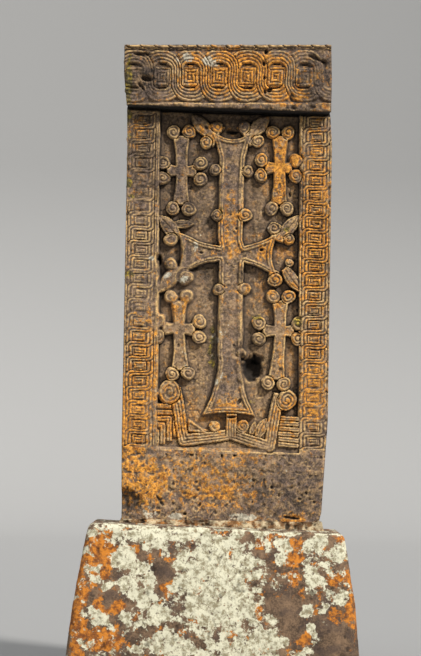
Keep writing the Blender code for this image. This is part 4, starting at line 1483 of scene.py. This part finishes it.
@dataclass
class Plinth:
    """The plinth: a battered block with worn arrises, hollows and a rough skin."""

    height: float = 600.0
    batter: tuple = (7.7, 6.7, 7.2, 7.2)
    swell: float = 1.65
    corner: float = 36.0
    arris: float = 20.0
    rows: int = 122
    arris_rings: int = 8
    top_rings: int = 26
    around: tuple = (4.2, 7.0)
    slope: float = 0.0253

    def ring(self, low: Array, high: Array) -> Array:
        """A rounded rectangle, fine along the front and coarser elsewhere.

        Args:
            low: Its lower corner.
            high: Its upper corner.

        Returns:
            Points round it, counter-clockwise from the front's left end.
        """
        radius = self.corner
        runs = (
            np.column_stack((np.arange(low[0] + radius, high[0] - radius, self.around[0]),) * 2),
            np.column_stack((np.arange(low[1] + radius, high[1] - radius, self.around[1]),) * 2),
            np.column_stack((np.arange(high[0] - radius, low[0] + radius, -self.around[1]),) * 2),
            np.column_stack((np.arange(high[1] - radius, low[1] + radius, -self.around[1]),) * 2),
        )
        front, right, back, left = (run[:, 0] for run in runs)
        return np.vstack((
            np.column_stack((front, np.full(len(front), low[1]))),
            arc((high[0] - radius, low[1] + radius), radius, -90, 0, 9),
            np.column_stack((np.full(len(right), high[0]), right))[1:],
            arc((high[0] - radius, high[1] - radius), radius, 0, 90, 9),
            np.column_stack((back, np.full(len(back), high[1])))[1:],
            arc((low[0] + radius, high[1] - radius), radius, 90, 180, 9),
            np.column_stack((np.full(len(left), low[0]), left))[1:],
            arc((low[0] + radius, low[1] + radius), radius, 180, 270, 9)[:-1],
        ))

    def stack(self, low: Array, high: Array) -> tuple[Array, int]:
        """Rings up the sides, over the arris and in across the top.

        Args:
            low: The foot's lower corner.
            high: The foot's upper corner.

        Returns:
            Rings by points by 3 places, and how many rings the sides and the arris have.
        """
        base = self.ring(low, high)
        middle = (low + high) / 2
        lean = [self.height * math.tan(math.radians(angle)) for angle in self.batter]
        top_low = low + (lean[0], lean[2])
        top_high = high - (lean[1], lean[3])
        share = (base - low) / (high - low)
        top = top_low + (top_high - top_low) * share
        rings = []
        for part in np.linspace(0.0, 1.0 - self.arris / self.height, self.rows):
            rings.append((base + (top - base) * part ** self.swell, part * self.height))
        for angle in np.linspace(12.0, 90.0, self.arris_rings):
            turn = math.radians(angle)
            drawn = self.arris * (1.0 - math.cos(turn))
            level = self.height - self.arris * (1.0 - math.sin(turn))
            edge = base + (top - base) * (level / self.height) ** self.swell
            rings.append((self.draw_in(edge, middle, drawn), level))
        inner = rings[-1][0]
        for part in np.linspace(0.0, 0.93, self.top_rings)[1:]:
            rings.append((middle + (inner - middle) * (1.0 - part), self.height))
        whole = np.stack([np.column_stack((ring, np.full(len(ring), level))) for ring, level in rings])
        return whole, self.rows + self.arris_rings

    def build(self) -> bpy.types.Object:
        """Build the plinth: stack its rings, roughen them, and mark hollows and growths."""
        low, high = (np.asarray(corner)[:2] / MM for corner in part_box("plinth"))
        middle = (low + high) / 2
        half = (high - low) / 2
        axis = np.asarray(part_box("carved_slab")[0])[0] / MM - SlabLayout().left_across[-1]
        whole, side_rings = self.stack(low, high)
        flat = whole.reshape(-1, 3)
        on_top = np.repeat(np.arange(len(whole)) >= side_rings - 2, whole.shape[1])
        away = flat[:, :2] - middle
        away /= np.linalg.norm(away / half, axis=1)[:, None] * half
        away /= np.linalg.norm(away, axis=1)[:, None]
        broad = fractal(flat, 230, 3, 101)
        rough = fractal(flat, 46, 4, 102)
        pits = smooth(0.38, 0.62, fractal(flat, 24, 3, 103))
        fine = fractal(flat, 10, 2, 104)
        sink = np.clip(5.0 + 5.0 * broad + 3.4 * rough + 0.8 * fine + 4.5 * pits, -4.0, 30.0)
        grounded = smooth(0.0, 8.0, flat[:, 2])
        flat[:, :2] -= np.where(on_top, 0.0, sink * grounded)[:, None] * away
        self.tilt_top(flat, axis, (3.0 + 3.5 * rough + 3.5 * broad + 3.0 * pits))
        # The finish paints the hollow mark as shade: pits and recesses of the skin are dimmed.
        marks = {"hollow": np.clip(0.22 * (1.0 + rough) + 0.75 * pits, 0.0, 1.0)}
        front = smooth(0.3, 0.8, -away[:, 1]) * np.where(on_top, 0.0, 1.0)
        marks.update(self.growths(flat, axis, front))
        piece = mesh_object("plinth_block", whole * MM, marks, (0,))
        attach(piece, "root")
        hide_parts("plinth")
        return piece

    def tilt_top(self, flat: Array, axis: float, dips: Array) -> None:
        """Let the top fall to the right and dip, but not under the mortar.

        Args:
            flat: The places, which are moved.
            axis: Place across of the slab's axis.
            dips: How deep the top's hollows are at each place.
        """
        rise = self.slope * (axis - flat[:, 0]) * (flat[:, 2] / self.height)
        bed_low, bed_high = (np.asarray(corner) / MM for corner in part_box("mortar_bed"))
        clear = np.maximum(np.maximum(bed_low[0] - flat[:, 0], flat[:, 0] - bed_high[0]),
                           np.maximum(bed_low[1] - flat[:, 1], flat[:, 1] - bed_high[1]))
        dips = np.clip(dips * smooth(-6.0, 22.0, clear), 0.0, 14.0)
        flat[:, 2] += rise - np.where(flat[:, 2] > self.height - self.arris, dips, 0.0)

    def growths(self, flat: Array, axis: float, front: Array) -> dict[str, Array]:
        """Where pale crusts and orange lichen gather, and where the stone is bare.

        Args:
            flat: The places.
            axis: Place across of the slab's axis.
            front: 1 on the front, 0 elsewhere.

        Returns:
            The values by attribute name.
        """
        drift = [26.0 * fractal(flat, 75, 3, seed) + 9.0 * fractal(flat, 20, 2, seed + 4)
                 for seed in (111, 112)]
        face = np.column_stack((flat[:, 0] - axis + drift[0], flat[:, 2] + drift[1]))
        topside = smooth(self.height - 50.0, self.height - 5.0, flat[:, 2])
        marks = {}
        regions = (("pale", PALE_CRUSTS, 0.42), ("rust", RUST_CRUSTS, 0.45), ("bare", BARE_STONE, 0.25))
        for name, places, elsewhere in regions:
            marks[name] = gathered(face, places) * front + elsewhere * (1.0 - front)
        marks["pale"] = np.maximum(np.maximum(marks["pale"], 0.4), 0.8 * topside)
        marks["rust"] = np.maximum(marks["rust"], 0.34)
        return marks

    @staticmethod
    def draw_in(ring: Array, middle: Array, distance: float) -> Array:
        """Move a ring inwards by a distance along each axis."""
        reach = np.abs(ring - middle).max(axis=0)
        return middle + (ring - middle) * (1.0 - distance / reach)


@dataclass(frozen=True)
class Veil:
    """Noise stepped between two levels: where a tone shows, and how strongly."""

    scale: float
    detail: float
    rough: float
    low: float
    high: float
    share: float = 1.0


@dataclass(frozen=True)
class Crust:
    """How a growth breaks up into crusts, and how far they cover the stone."""

    scale: float
    threshold: float
    softness: float
    cover: float


@dataclass(frozen=True)
class Grain:
    """A stone's fine grain: its size, its bump, and the levels of its tone."""

    size: float
    strength: float
    distance: float
    low: float = 0.36
    high: float = 0.64


@dataclass
class ShaderGraph:
    """A short hand for placing and linking shader nodes."""

    tree: bpy.types.NodeTree

    def node(self, kind: str, **settings: object) -> bpy.types.Node:
        """Place a node and set its properties.

        Args:
            kind: The node's type.
            settings: Its properties by name.

        Returns:
            The node.
        """
        made = self.tree.nodes.new(kind)
        for name, value in settings.items():
            setattr(made, name, value)
        return made

    def feed(self, socket: bpy.types.NodeSocket, value: object) -> None:
        """Link an output into a socket, or set the socket's own value."""
        if isinstance(value, bpy.types.NodeSocket):
            self.tree.links.new(value, socket)
        else:
            socket.default_value = value

    def math(self, operation: str, first: object, second: object) -> bpy.types.NodeSocket:
        """A math node on two values.

        Args:
            operation: What it works out.
            first: The first value or socket.
            second: The second value or socket.

        Returns:
            The result.
        """
        made = self.node("ShaderNodeMath", operation=operation)
        self.feed(made.inputs[0], first)
        self.feed(made.inputs[1], second)
        return made.outputs[0]

    def times(self, first: object, second: object) -> bpy.types.NodeSocket:
        """The product of two values."""
        return self.math("MULTIPLY", first, second)

    def less(self, first: object, second: object) -> bpy.types.NodeSocket:
        """The first value less the second."""
        return self.math("SUBTRACT", first, second)

    def noise(self, vector: object, scale: object, detail: float, rough: float) -> bpy.types.NodeSocket:
        """The value of a noise texture.

        Args:
            vector: The coordinates.
            scale: The texture's cells a metre.
            detail: How many octaves it has.
            rough: How strong the fine octaves are.

        Returns:
            The noise, about 0 to 1.
        """
        made = self.node("ShaderNodeTexNoise")
        for name, fed in (("Vector", vector), ("Scale", scale), ("Detail", detail), ("Roughness", rough)):
            self.feed(made.inputs[name], fed)
        return made.outputs["Fac"]

    def step(self, value: object, low: object, high: object) -> bpy.types.NodeSocket:
        """A smooth step of a value between two levels.

        Args:
            value: The value.
            low: The level that gives 0.
            high: The level that gives 1.

        Returns:
            The stepped value.
        """
        made = self.node("ShaderNodeMapRange", interpolation_type="SMOOTHSTEP")
        for name, fed in (("Value", value), ("From Min", low), ("From Max", high)):
            self.feed(made.inputs[name], fed)
        return made.outputs[0]

    def veil(self, place: object, veil: Veil) -> bpy.types.NodeSocket:
        """The strength of a veil, from 0 to its share."""
        noise = self.noise(place, veil.scale, veil.detail, veil.rough)
        return self.times(self.step(noise, veil.low, veil.high), veil.share)

    def mix(self, share: object, first: object, second: object, blend: str = "MIX") -> bpy.types.NodeSocket:
        """A mix of two colours.

        Args:
            share: The second colour's share.
            first: The first colour.
            second: The second colour.
            blend: How the two are blended.

        Returns:
            The mix.
        """
        made = self.node("ShaderNodeMix", data_type="RGBA", blend_type=blend)
        self.feed(made.inputs[0], share)
        self.feed(made.inputs[6], first)
        self.feed(made.inputs[7], second)
        return made.outputs[2]

    def between(self, share: object, first: tuple, second: tuple) -> bpy.types.NodeSocket:
        """A mix of two display tones."""
        return self.mix(share, colour(*first), colour(*second))

    def tint(self, base: object, share: object, tone: tuple, strength: float = 1.0) -> bpy.types.NodeSocket:
        """A colour drawn towards a display tone where a share says, times a strength."""
        return self.mix(self.times(share, strength), base, colour(*tone))

    def crust(self, lichen: bpy.types.NodeTree, place: object, region: object,
              crust: Crust) -> bpy.types.NodeSocket:
        """Where a growth has crusts inside a region, from 0 to 1.

        Args:
            lichen: The group for lichen.
            place: The coordinates.
            region: Where the growth gathers, from 0 to 1.
            crust: How it breaks up.

        Returns:
            The crusts.
        """
        made = self.node("ShaderNodeGroup", node_tree=lichen)
        for name, value in (("Vector", place), ("Region", region), ("Scale", crust.scale),
                            ("Threshold", crust.threshold), ("Softness", crust.softness)):
            self.feed(made.inputs[name], value)
        return made.outputs["Crust"]

    def mark(self, name: str) -> bpy.types.NodeSocket:
        """A value that the mesh holds on its vertices."""
        return self.node("ShaderNodeAttribute", attribute_name=name).outputs["Fac"]

    def place(self) -> bpy.types.NodeSocket:
        """Object coordinates."""
        return self.node("ShaderNodeTexCoord").outputs["Object"]

    def paint(self, base: bpy.types.NodeSocket) -> None:
        """Feed the shader's colour."""
        self.feed(self.tree.nodes["Principled BSDF"].inputs["Base Color"], base)


def colour(red: float, green: float, blue: float) -> tuple[float, float, float, float]:
    """A display colour of 0 to 255 a channel, as the linear colour that shaders take.

    Args:
        red: Red, from 0 to 255.
        green: Green, from 0 to 255.
        blue: Blue, from 0 to 255.

    Returns:
        The linear colour, opaque.
    """
    parts = []
    for value in (red, green, blue):
        share = value / 255.0
        parts.append(share / 12.92 if share <= 0.04045 else ((share + 0.055) / 1.055) ** 2.4)
    return (*parts, 1.0)


def node_group(name: str, inputs: Sequence[str], outputs: Sequence[str]) -> tuple:
    """Start a node group.

    Args:
        name: Its name.
        inputs: Its inputs' names, of which the first is a vector and the others are values.
        outputs: Its outputs' names.

    Returns:
        The group, its graph, and its inputs and outputs as seen from inside.
    """
    group = bpy.data.node_groups.new(name, "ShaderNodeTree")
    for label in inputs:
        kind = "NodeSocketVector" if label == inputs[0] else "NodeSocketFloat"
        group.interface.new_socket(label, in_out="INPUT", socket_type=kind)
    for label in outputs:
        group.interface.new_socket(label, in_out="OUTPUT", socket_type="NodeSocketFloat")
    graph = ShaderGraph(group)
    return group, graph, graph.node("NodeGroupInput").outputs, graph.node("NodeGroupOutput").inputs


def lichen_group() -> bpy.types.NodeTree:
    """A group that breaks a region into crusts of lichen with crisp, lobed edges.

    Its crusts are where noise of two sizes, raised by the region's strength,
    passes a threshold.
    """
    inputs = ("Vector", "Region", "Scale", "Threshold", "Softness")
    group, graph, given, result = node_group("lichen_crust", inputs, ("Crust",))
    broad = graph.noise(given["Vector"], given["Scale"], 3.0, 0.6)
    fine = graph.noise(given["Vector"], graph.times(given["Scale"], 5.3), 4.0, 0.65)
    summed = graph.math("ADD", graph.times(broad, 0.72), graph.times(fine, 0.28))
    lift = graph.times(graph.less(given["Region"], 0.5), 0.3)
    top = graph.math("ADD", given["Threshold"], given["Softness"])
    crust = graph.step(graph.math("ADD", summed, lift), given["Threshold"], top)
    graph.feed(result["Crust"], crust)
    return group


def grain_group() -> bpy.types.NodeTree:
    """A group for the stone's grain: a value that mottles colour, and a height for bump."""
    group, graph, given, result = node_group("stone_grain", ("Vector", "Size"), ("Tone", "Height"))
    broad = graph.noise(given["Vector"], graph.times(given["Size"], 0.12), 4.0, 0.6)
    fine = graph.noise(given["Vector"], given["Size"], 3.0, 0.7)
    speck = graph.noise(given["Vector"], graph.times(given["Size"], 3.1), 2.0, 0.6)
    graph.feed(result["Tone"], graph.math("ADD", graph.times(broad, 0.55), graph.times(fine, 0.45)))
    graph.feed(result["Height"], graph.math("ADD", fine, graph.times(speck, 0.5)))
    return group


class StoneFinish:
    """What the finishes share: a material that opens on a stone's grain."""

    grain: Grain
    roughness: float

    def opened(self, name: str, group: bpy.types.NodeTree) -> tuple:
        """Start a material with the stone's grain as its bump.

        Args:
            name: Its name.
            group: The group that makes the grain.

        Returns:
            The material, its graph, its coordinates, and the grain's tone.
        """
        made = bpy.data.materials.new(name)
        made.use_nodes = True
        graph = ShaderGraph(made.node_tree)
        place = graph.place()
        stone = graph.node("ShaderNodeGroup", node_tree=group)
        graph.feed(stone.inputs["Vector"], place)
        graph.feed(stone.inputs["Size"], self.grain.size)
        bump = graph.node("ShaderNodeBump")
        graph.feed(bump.inputs["Strength"], self.grain.strength)
        graph.feed(bump.inputs["Distance"], self.grain.distance)
        graph.feed(bump.inputs["Height"], stone.outputs["Height"])
        shader = made.node_tree.nodes["Principled BSDF"]
        graph.feed(shader.inputs["Normal"], bump.outputs["Normal"])
        graph.feed(shader.inputs["Roughness"], self.roughness)
        return made, graph, place, graph.step(stone.outputs["Tone"], self.grain.low, self.grain.high)


@dataclass(frozen=True)
class CarvedStoneFinish(StoneFinish):
    """The slab's finish: violet-brown tuff with lichens and moss, worn tan and a painted highlight on its
    ridges, and painted shade in its hollows.
    """

    low_tone: tuple = (76, 64, 57)
    high_tone: tuple = (134, 113, 99)
    tan_tone: tuple = (178, 145, 106)
    # Partly worn golden skin, partly a painted highlight on the ridges.
    ridge_highlight_and_wear_tone: tuple = (220, 182, 122)
    # Painted shade: the tone that the carving's hollows are drawn towards, then the near black of its
    # deepest recesses.
    low_shade_tone: tuple = (92, 77, 64)
    groove_shade_tone: tuple = (22, 17, 13)
    field_tone: tuple = (126, 104, 78)
    orange_deep: tuple = (152, 92, 34)
    orange_bright: tuple = (240, 167, 64)
    pale_tone: tuple = (206, 200, 180)
    moss_tone: tuple = (82, 76, 32)
    yellow_tone: tuple = (188, 162, 52)
    roughness: float = 0.92
    grain: Grain = Grain(160.0, 0.5, 0.0022)
    blotch: Veil = Veil(26.0, 5.0, 0.68, 0.46, 0.62, 0.62)
    ridge_highlight_and_wear_veil: Veil = Veil(30.0, 4.0, 0.55, 0.3, 0.58)
    orange_veil: Veil = Veil(95.0, 4.0, 0.7, 0.36, 0.6)
    moss_veil: Veil = Veil(46.0, 3.0, 0.6, 0.46, 0.58)
    speck: Veil = Veil(80.0, 3.0, 0.7, 0.36, 0.62, 0.62)
    stain: Veil = Veil(12.0, 4.0, 0.6, 0.48, 0.62, 0.18)
    orange_crust: Crust = Crust(42.0, 0.47, 0.14, 0.95)
    pale_crust: Crust = Crust(26.0, 0.56, 0.05, 0.85)
    moss_crust: Crust = Crust(34.0, 0.53, 0.08, 0.8)
    low_levels: tuple = (0.05, 0.4)
    deep_levels: tuple = (0.46, 1.25)
    field_share: float = 0.45
    tan_share: float = 0.5
    ridge_highlight_and_wear_share: float = 0.85
    field_hold: float = 0.5
    low_hold: float = 0.8
    dimmest: float = 0.65
    shade_and_stain_share: float = 0.45
    # Shares of the painted shade in the hollows and in the deepest recesses.
    low_shade_share: float = 0.6
    groove_shade_share: float = 0.95

    def material(self, lichen: bpy.types.NodeTree, group: bpy.types.NodeTree) -> bpy.types.Material:
        """Make the material from the groups for lichen and for grain.

        Args:
            lichen: The group for lichen.
            group: The group for grain.

        Returns:
            The material.
        """
        made, graph, place, tone = self.opened("lichened_tuff", group)
        base = graph.between(tone, self.low_tone, self.high_tone)
        base = graph.tint(base, graph.veil(place, self.blotch), self.tan_tone)
        base = graph.tint(base, graph.mark("sunk"), self.field_tone, self.field_share)
        base = graph.tint(base, graph.mark("tan"), self.tan_tone, self.tan_share)
        # Ridges are lightened towards a golden tone: partly the worn skin of the stone, partly a painted
        # highlight.
        ridge = graph.times(graph.mark("ridge"), graph.veil(place, self.ridge_highlight_and_wear_veil))
        base = graph.tint(base, ridge, self.ridge_highlight_and_wear_tone, self.ridge_highlight_and_wear_share)
        low = graph.step(graph.mark("hollow"), *self.low_levels)
        base = self.lichened(graph, lichen, place, base, low)
        light = graph.math("ADD", self.dimmest, graph.veil(place, self.speck))
        light = graph.less(light, graph.veil(place, self.stain))
        # These patches dim the stone: partly stains, partly painted shadow; on the sides and back they are
        # streaks of stain.
        light = graph.less(light, graph.times(graph.mark("shade_and_stain"), self.shade_and_stain_share))
        base = graph.mix(1.0, base, light, "MULTIPLY")
        # Painted shade: the hollows are drawn towards a shadowed tone and the deepest recesses towards near
        # black.
        base = graph.tint(base, low, self.low_shade_tone, self.low_shade_share)
        deep = graph.step(graph.mark("hollow"), *self.deep_levels)
        graph.paint(graph.tint(base, deep, self.groove_shade_tone, self.groove_shade_share))
        return made

    def lichened(self, graph: ShaderGraph, lichen: bpy.types.NodeTree, place: object, base: object,
                 low: object) -> bpy.types.NodeSocket:
        """Lay orange lichen, thinner in the field and the hollows, then pale crusts and moss.

        Args:
            graph: The material's graph.
            lichen: The group for lichen.
            place: The coordinates.
            base: The stone's colour.
            low: How low each place lies in the carving.

        Returns:
            The colour with its growths.
        """
        orange = graph.crust(lichen, place, graph.mark("orange"), self.orange_crust)
        tones = graph.between(graph.veil(place, self.orange_veil), self.orange_deep, self.orange_bright)
        held = graph.less(1.0, graph.times(graph.mark("sunk"), self.field_hold))
        proud = graph.less(self.orange_crust.cover, graph.times(low, self.low_hold))
        base = graph.mix(graph.times(graph.times(orange, held), proud), base, tones)
        pale = graph.crust(lichen, place, graph.mark("pale"), self.pale_crust)
        base = graph.tint(base, pale, self.pale_tone, self.pale_crust.cover)
        moss = graph.crust(lichen, place, graph.mark("green"), self.moss_crust)
        tufts = graph.between(graph.veil(place, self.moss_veil), self.moss_tone, self.yellow_tone)
        return graph.mix(graph.times(moss, self.moss_crust.cover), base, tufts)


@dataclass(frozen=True)
class PlinthFinish(StoneFinish):
    """The plinth's finish: clouded brown stone under mottled pale crusts and orange lichen."""

    low_tone: tuple = (74, 58, 44)
    high_tone: tuple = (150, 121, 94)
    violet_tone: tuple = (78, 64, 58)
    pale_tone: tuple = (238, 234, 206)
    pale_shade: tuple = (158, 148, 118)
    orange_deep: tuple = (132, 74, 28)
    orange_bright: tuple = (230, 142, 40)
    groove_shade_tone: tuple = (34, 26, 18)
    roughness: float = 0.94
    grain: Grain = Grain(130.0, 0.6, 0.003)
    cloud: Veil = Veil(17.0, 5.0, 0.68, 0.46, 0.62, 0.65)
    orange_veil: Veil = Veil(55.0, 4.0, 0.65, 0.38, 0.6)
    mottle: Veil = Veil(46.0, 5.0, 0.72, 0.38, 0.56)
    holes: Veil = Veil(62.0, 4.0, 0.65, 0.32, 0.44)
    orange_crust: Crust = Crust(26.0, 0.5, 0.08, 0.9)
    pale_crust: Crust = Crust(24.0, 0.5, 0.05, 1.0)
    orange_shift: tuple = (3.7, 1.9, 5.2)
    orange_hold: float = 0.5
    pale_hold: float = 1.2
    hollow_shade_share: float = 0.62

    def material(self, lichen: bpy.types.NodeTree, group: bpy.types.NodeTree) -> bpy.types.Material:
        """Make the material from the groups for lichen and for grain.

        Args:
            lichen: The group for lichen.
            group: The group for grain.

        Returns:
            The material.
        """
        made, graph, place, tone = self.opened("lichened_block", group)
        base = graph.between(tone, self.low_tone, self.high_tone)
        base = graph.tint(base, graph.veil(place, self.cloud), self.violet_tone)
        moved = graph.node("ShaderNodeMapping")
        graph.feed(moved.inputs["Vector"], place)
        graph.feed(moved.inputs["Location"], self.orange_shift)
        apart = moved.outputs[0]
        bare = graph.mark("bare")
        region = graph.less(graph.mark("rust"), graph.times(bare, self.orange_hold))
        orange = graph.crust(lichen, apart, region, self.orange_crust)
        tones = graph.between(graph.veil(apart, self.orange_veil), self.orange_deep, self.orange_bright)
        base = graph.mix(graph.times(orange, self.orange_crust.cover), base, tones)
        region = graph.less(graph.mark("pale"), graph.times(bare, self.pale_hold))
        pale = graph.crust(lichen, place, region, self.pale_crust)
        chalk = graph.between(graph.veil(place, self.mottle), self.pale_shade, self.pale_tone)
        base = graph.mix(graph.times(pale, graph.veil(place, self.holes)), base, chalk)
        # Painted shade: the hollows are drawn towards a near-black tone.
        graph.paint(graph.tint(base, graph.mark("hollow"), self.groove_shade_tone, self.hollow_shade_share))
        return made


@dataclass(frozen=True)
class PlainStoneFinish(StoneFinish):
    """A finish for the slab's plain top and underside: mottled stone with thin crusts, painted near black
    on the underside as shade.
    """

    name: str
    low_tone: tuple
    high_tone: tuple
    crust_tone: tuple
    crust_region: float
    crust: Crust = Crust(22.0, 0.52, 0.06, 0.8)
    roughness: float = 0.95
    grain: Grain = Grain(120.0, 0.8, 0.004)

    def material(self, lichen: bpy.types.NodeTree, group: bpy.types.NodeTree) -> bpy.types.Material:
        """Make the material from the groups for lichen and for grain.

        Args:
            lichen: The group for lichen.
            group: The group for grain.

        Returns:
            The material.
        """
        made, graph, place, tone = self.opened(self.name, group)
        base = graph.between(tone, self.low_tone, self.high_tone)
        crust = graph.crust(lichen, place, self.crust_region, self.crust)
        graph.paint(graph.tint(base, crust, self.crust_tone, self.crust.cover))
        return made


@dataclass(frozen=True)
class MortarFinish(StoneFinish):
    """The mortar's finish: chalky in patches and sandy, with painted shade in its hollows."""

    low_tone: tuple = (118, 84, 50)
    high_tone: tuple = (210, 192, 156)
    crumb_tone: tuple = (176, 118, 58)
    groove_shade_tone: tuple = (40, 30, 20)
    roughness: float = 0.95
    grain: Grain = Grain(220.0, 0.7, 0.002, 0.52, 0.6)
    chalk: Veil = Veil(30.0, 5.0, 0.7, 0.42, 0.58)
    hollow_shade_share: float = 0.9

    def material(self, group: bpy.types.NodeTree) -> bpy.types.Material:
        """Make the material from the group for grain.

        Args:
            group: The group for grain.

        Returns:
            The material.
        """
        made, graph, place, crumb = self.opened("crumbled_mortar", group)
        base = graph.between(graph.veil(place, self.chalk), self.low_tone, self.high_tone)
        base = graph.tint(base, crumb, self.crumb_tone)
        # Painted shade: the hollows are drawn towards a near-black tone.
        graph.paint(graph.tint(base, graph.mark("hollow"), self.groove_shade_tone, self.hollow_shade_share))
        return made


@dataclass(frozen=True)
class Studio:
    """The camera, the floor and the lights."""

    distance: float = 10.0
    eye: float = 0.93
    aim: float = 1.3848
    shift_across: float = -0.058
    half_view: float = 1.3008
    roll: float = 1.0
    sensor: float = 24.0
    key_energy: float = 3.3
    key_angle: float = 8.0
    key_turn: tuple = (42.0, 50.0)
    top_energy: float = 1.0
    top_angle: float = 60.0
    top_turn: tuple = (-20.0, 24.0)
    light_tone: tuple = (1.0, 0.97, 0.92)
    fill: float = 0.42
    fill_tone: tuple = (0.92, 0.96, 1.0, 1.0)
    floor_tone: tuple = (0.34, 0.34, 0.34, 1.0)

    def camera(self, axis_x: float, face_y: float) -> None:
        """Stand the camera square in front of the slab, rolled as the photograph is.

        Args:
            axis_x: Where the slab's axis stands.
            face_y: Where its face stands.
        """
        data = bpy.data.cameras.new("camera")
        data.sensor_fit = "VERTICAL"
        data.sensor_height = self.sensor
        reach = math.hypot(self.distance, self.aim - self.eye)
        pitch = math.atan2(self.aim - self.eye, self.distance)
        data.lens = self.sensor / 2 * reach / self.half_view
        eye = bpy.data.objects.new("camera", data)
        place = Matrix.Translation((axis_x + self.shift_across, face_y - self.distance, self.eye))
        upright = Matrix.Rotation(math.pi / 2 + pitch, 4, "X")
        eye.matrix_world = place @ upright @ Matrix.Rotation(math.radians(self.roll), 4, "Z")
        bpy.context.scene.collection.objects.link(eye)
        bpy.context.scene.camera = eye

    def floor(self) -> None:
        """A plain pale floor that curves up all round into a plain backdrop."""
        bend = arc((14.0, 4.0), 4.0, -90.0, 0.0, 20)
        profile = np.vstack(((0.5, 0.0), (6.0, 0.0), bend, (18.0, 9.0)))
        turns = np.linspace(0.0, 2.0 * math.pi, 97)[:-1]
        rings = np.stack((np.outer(profile[:, 0], np.cos(turns)), np.outer(profile[:, 0], np.sin(turns)),
                          np.repeat(profile[:, 1:], len(turns), axis=1)), axis=2)
        numbers, quads = skin(*rings.shape[:2])
        faces = quads[:, ::-1].tolist() + [numbers[0].tolist()]
        mesh = bpy.data.meshes.new("floor")
        mesh.from_pydata(rings.reshape(-1, 3).tolist(), [], faces)
        mesh.shade_smooth()
        sheet = bpy.data.objects.new("floor", mesh)
        bpy.context.scene.collection.objects.link(sheet)
        finish = bpy.data.materials.new("floor")
        finish.use_nodes = True
        shader = finish.node_tree.nodes["Principled BSDF"]
        shader.inputs["Base Color"].default_value = self.floor_tone
        shader.inputs["Roughness"].default_value = 0.9
        mesh.materials.append(finish)

    def lights(self) -> None:
        """A soft key from high on the right, a softer one from above, and a fill from all round."""
        lamps = (("key", self.key_energy, self.key_angle, self.key_turn),
                 ("sky", self.top_energy, self.top_angle, self.top_turn))
        for name, energy, angle, (azimuth, zenith) in lamps:
            light = bpy.data.lights.new(name, "SUN")
            light.energy = energy
            light.angle = math.radians(angle)
            light.color = self.light_tone
            lamp = bpy.data.objects.new(name, light)
            turned = Matrix.Rotation(math.radians(azimuth), 4, "Z")
            lamp.matrix_world = turned @ Matrix.Rotation(math.radians(zenith), 4, "X")
            bpy.context.scene.collection.objects.link(lamp)
        world = bpy.data.worlds.new("fill")
        world.use_nodes = True
        background = world.node_tree.nodes["Background"]
        background.inputs["Color"].default_value = self.fill_tone
        background.inputs["Strength"].default_value = self.fill
        bpy.context.scene.world = world


def dress(piece: bpy.types.Object, *materials: bpy.types.Material) -> None:
    """Give a piece the materials of its slots in order, and report it."""
    for material in materials:
        piece.data.materials.append(material)
    LOG.info("%s: %d faces", piece.name, len(piece.data.polygons))


def main() -> None:
    """Build the pieces in order, dress them, and set the camera and the lights."""
    logging.basicConfig(level=logging.INFO, format="%(message)s")
    lichen = lichen_group()
    grain = grain_group()
    slab = CarvedSlab()
    tuff = CarvedStoneFinish().material(lichen, grain)
    # The cornice's underside is painted near black: painted shade under the overhang.
    painted_shade_soffit = PlainStoneFinish("painted_shade_soffit_tuff", (20, 16, 14), (44, 37, 31), (60, 52, 44), 0.1)
    top = PlainStoneFinish("weathered_top", (74, 62, 54), (132, 112, 96), (196, 190, 166), 0.45)
    caps = (painted_shade_soffit.material(lichen, grain), top.material(lichen, grain))
    for piece in slab.build():
        dress(piece, tuff, *(caps if piece.name == "slab_cornice" else ()))
    dress(MortarBed().build(), MortarFinish().material(grain))
    dress(Plinth().build(), PlinthFinish().material(lichen, grain))
    studio = Studio()
    studio.camera(slab.axis_x, slab.face_y)
    studio.floor()
    studio.lights()
    bpy.context.scene.view_settings.view_transform = "Standard"


if __name__ == "__main__":
    main()
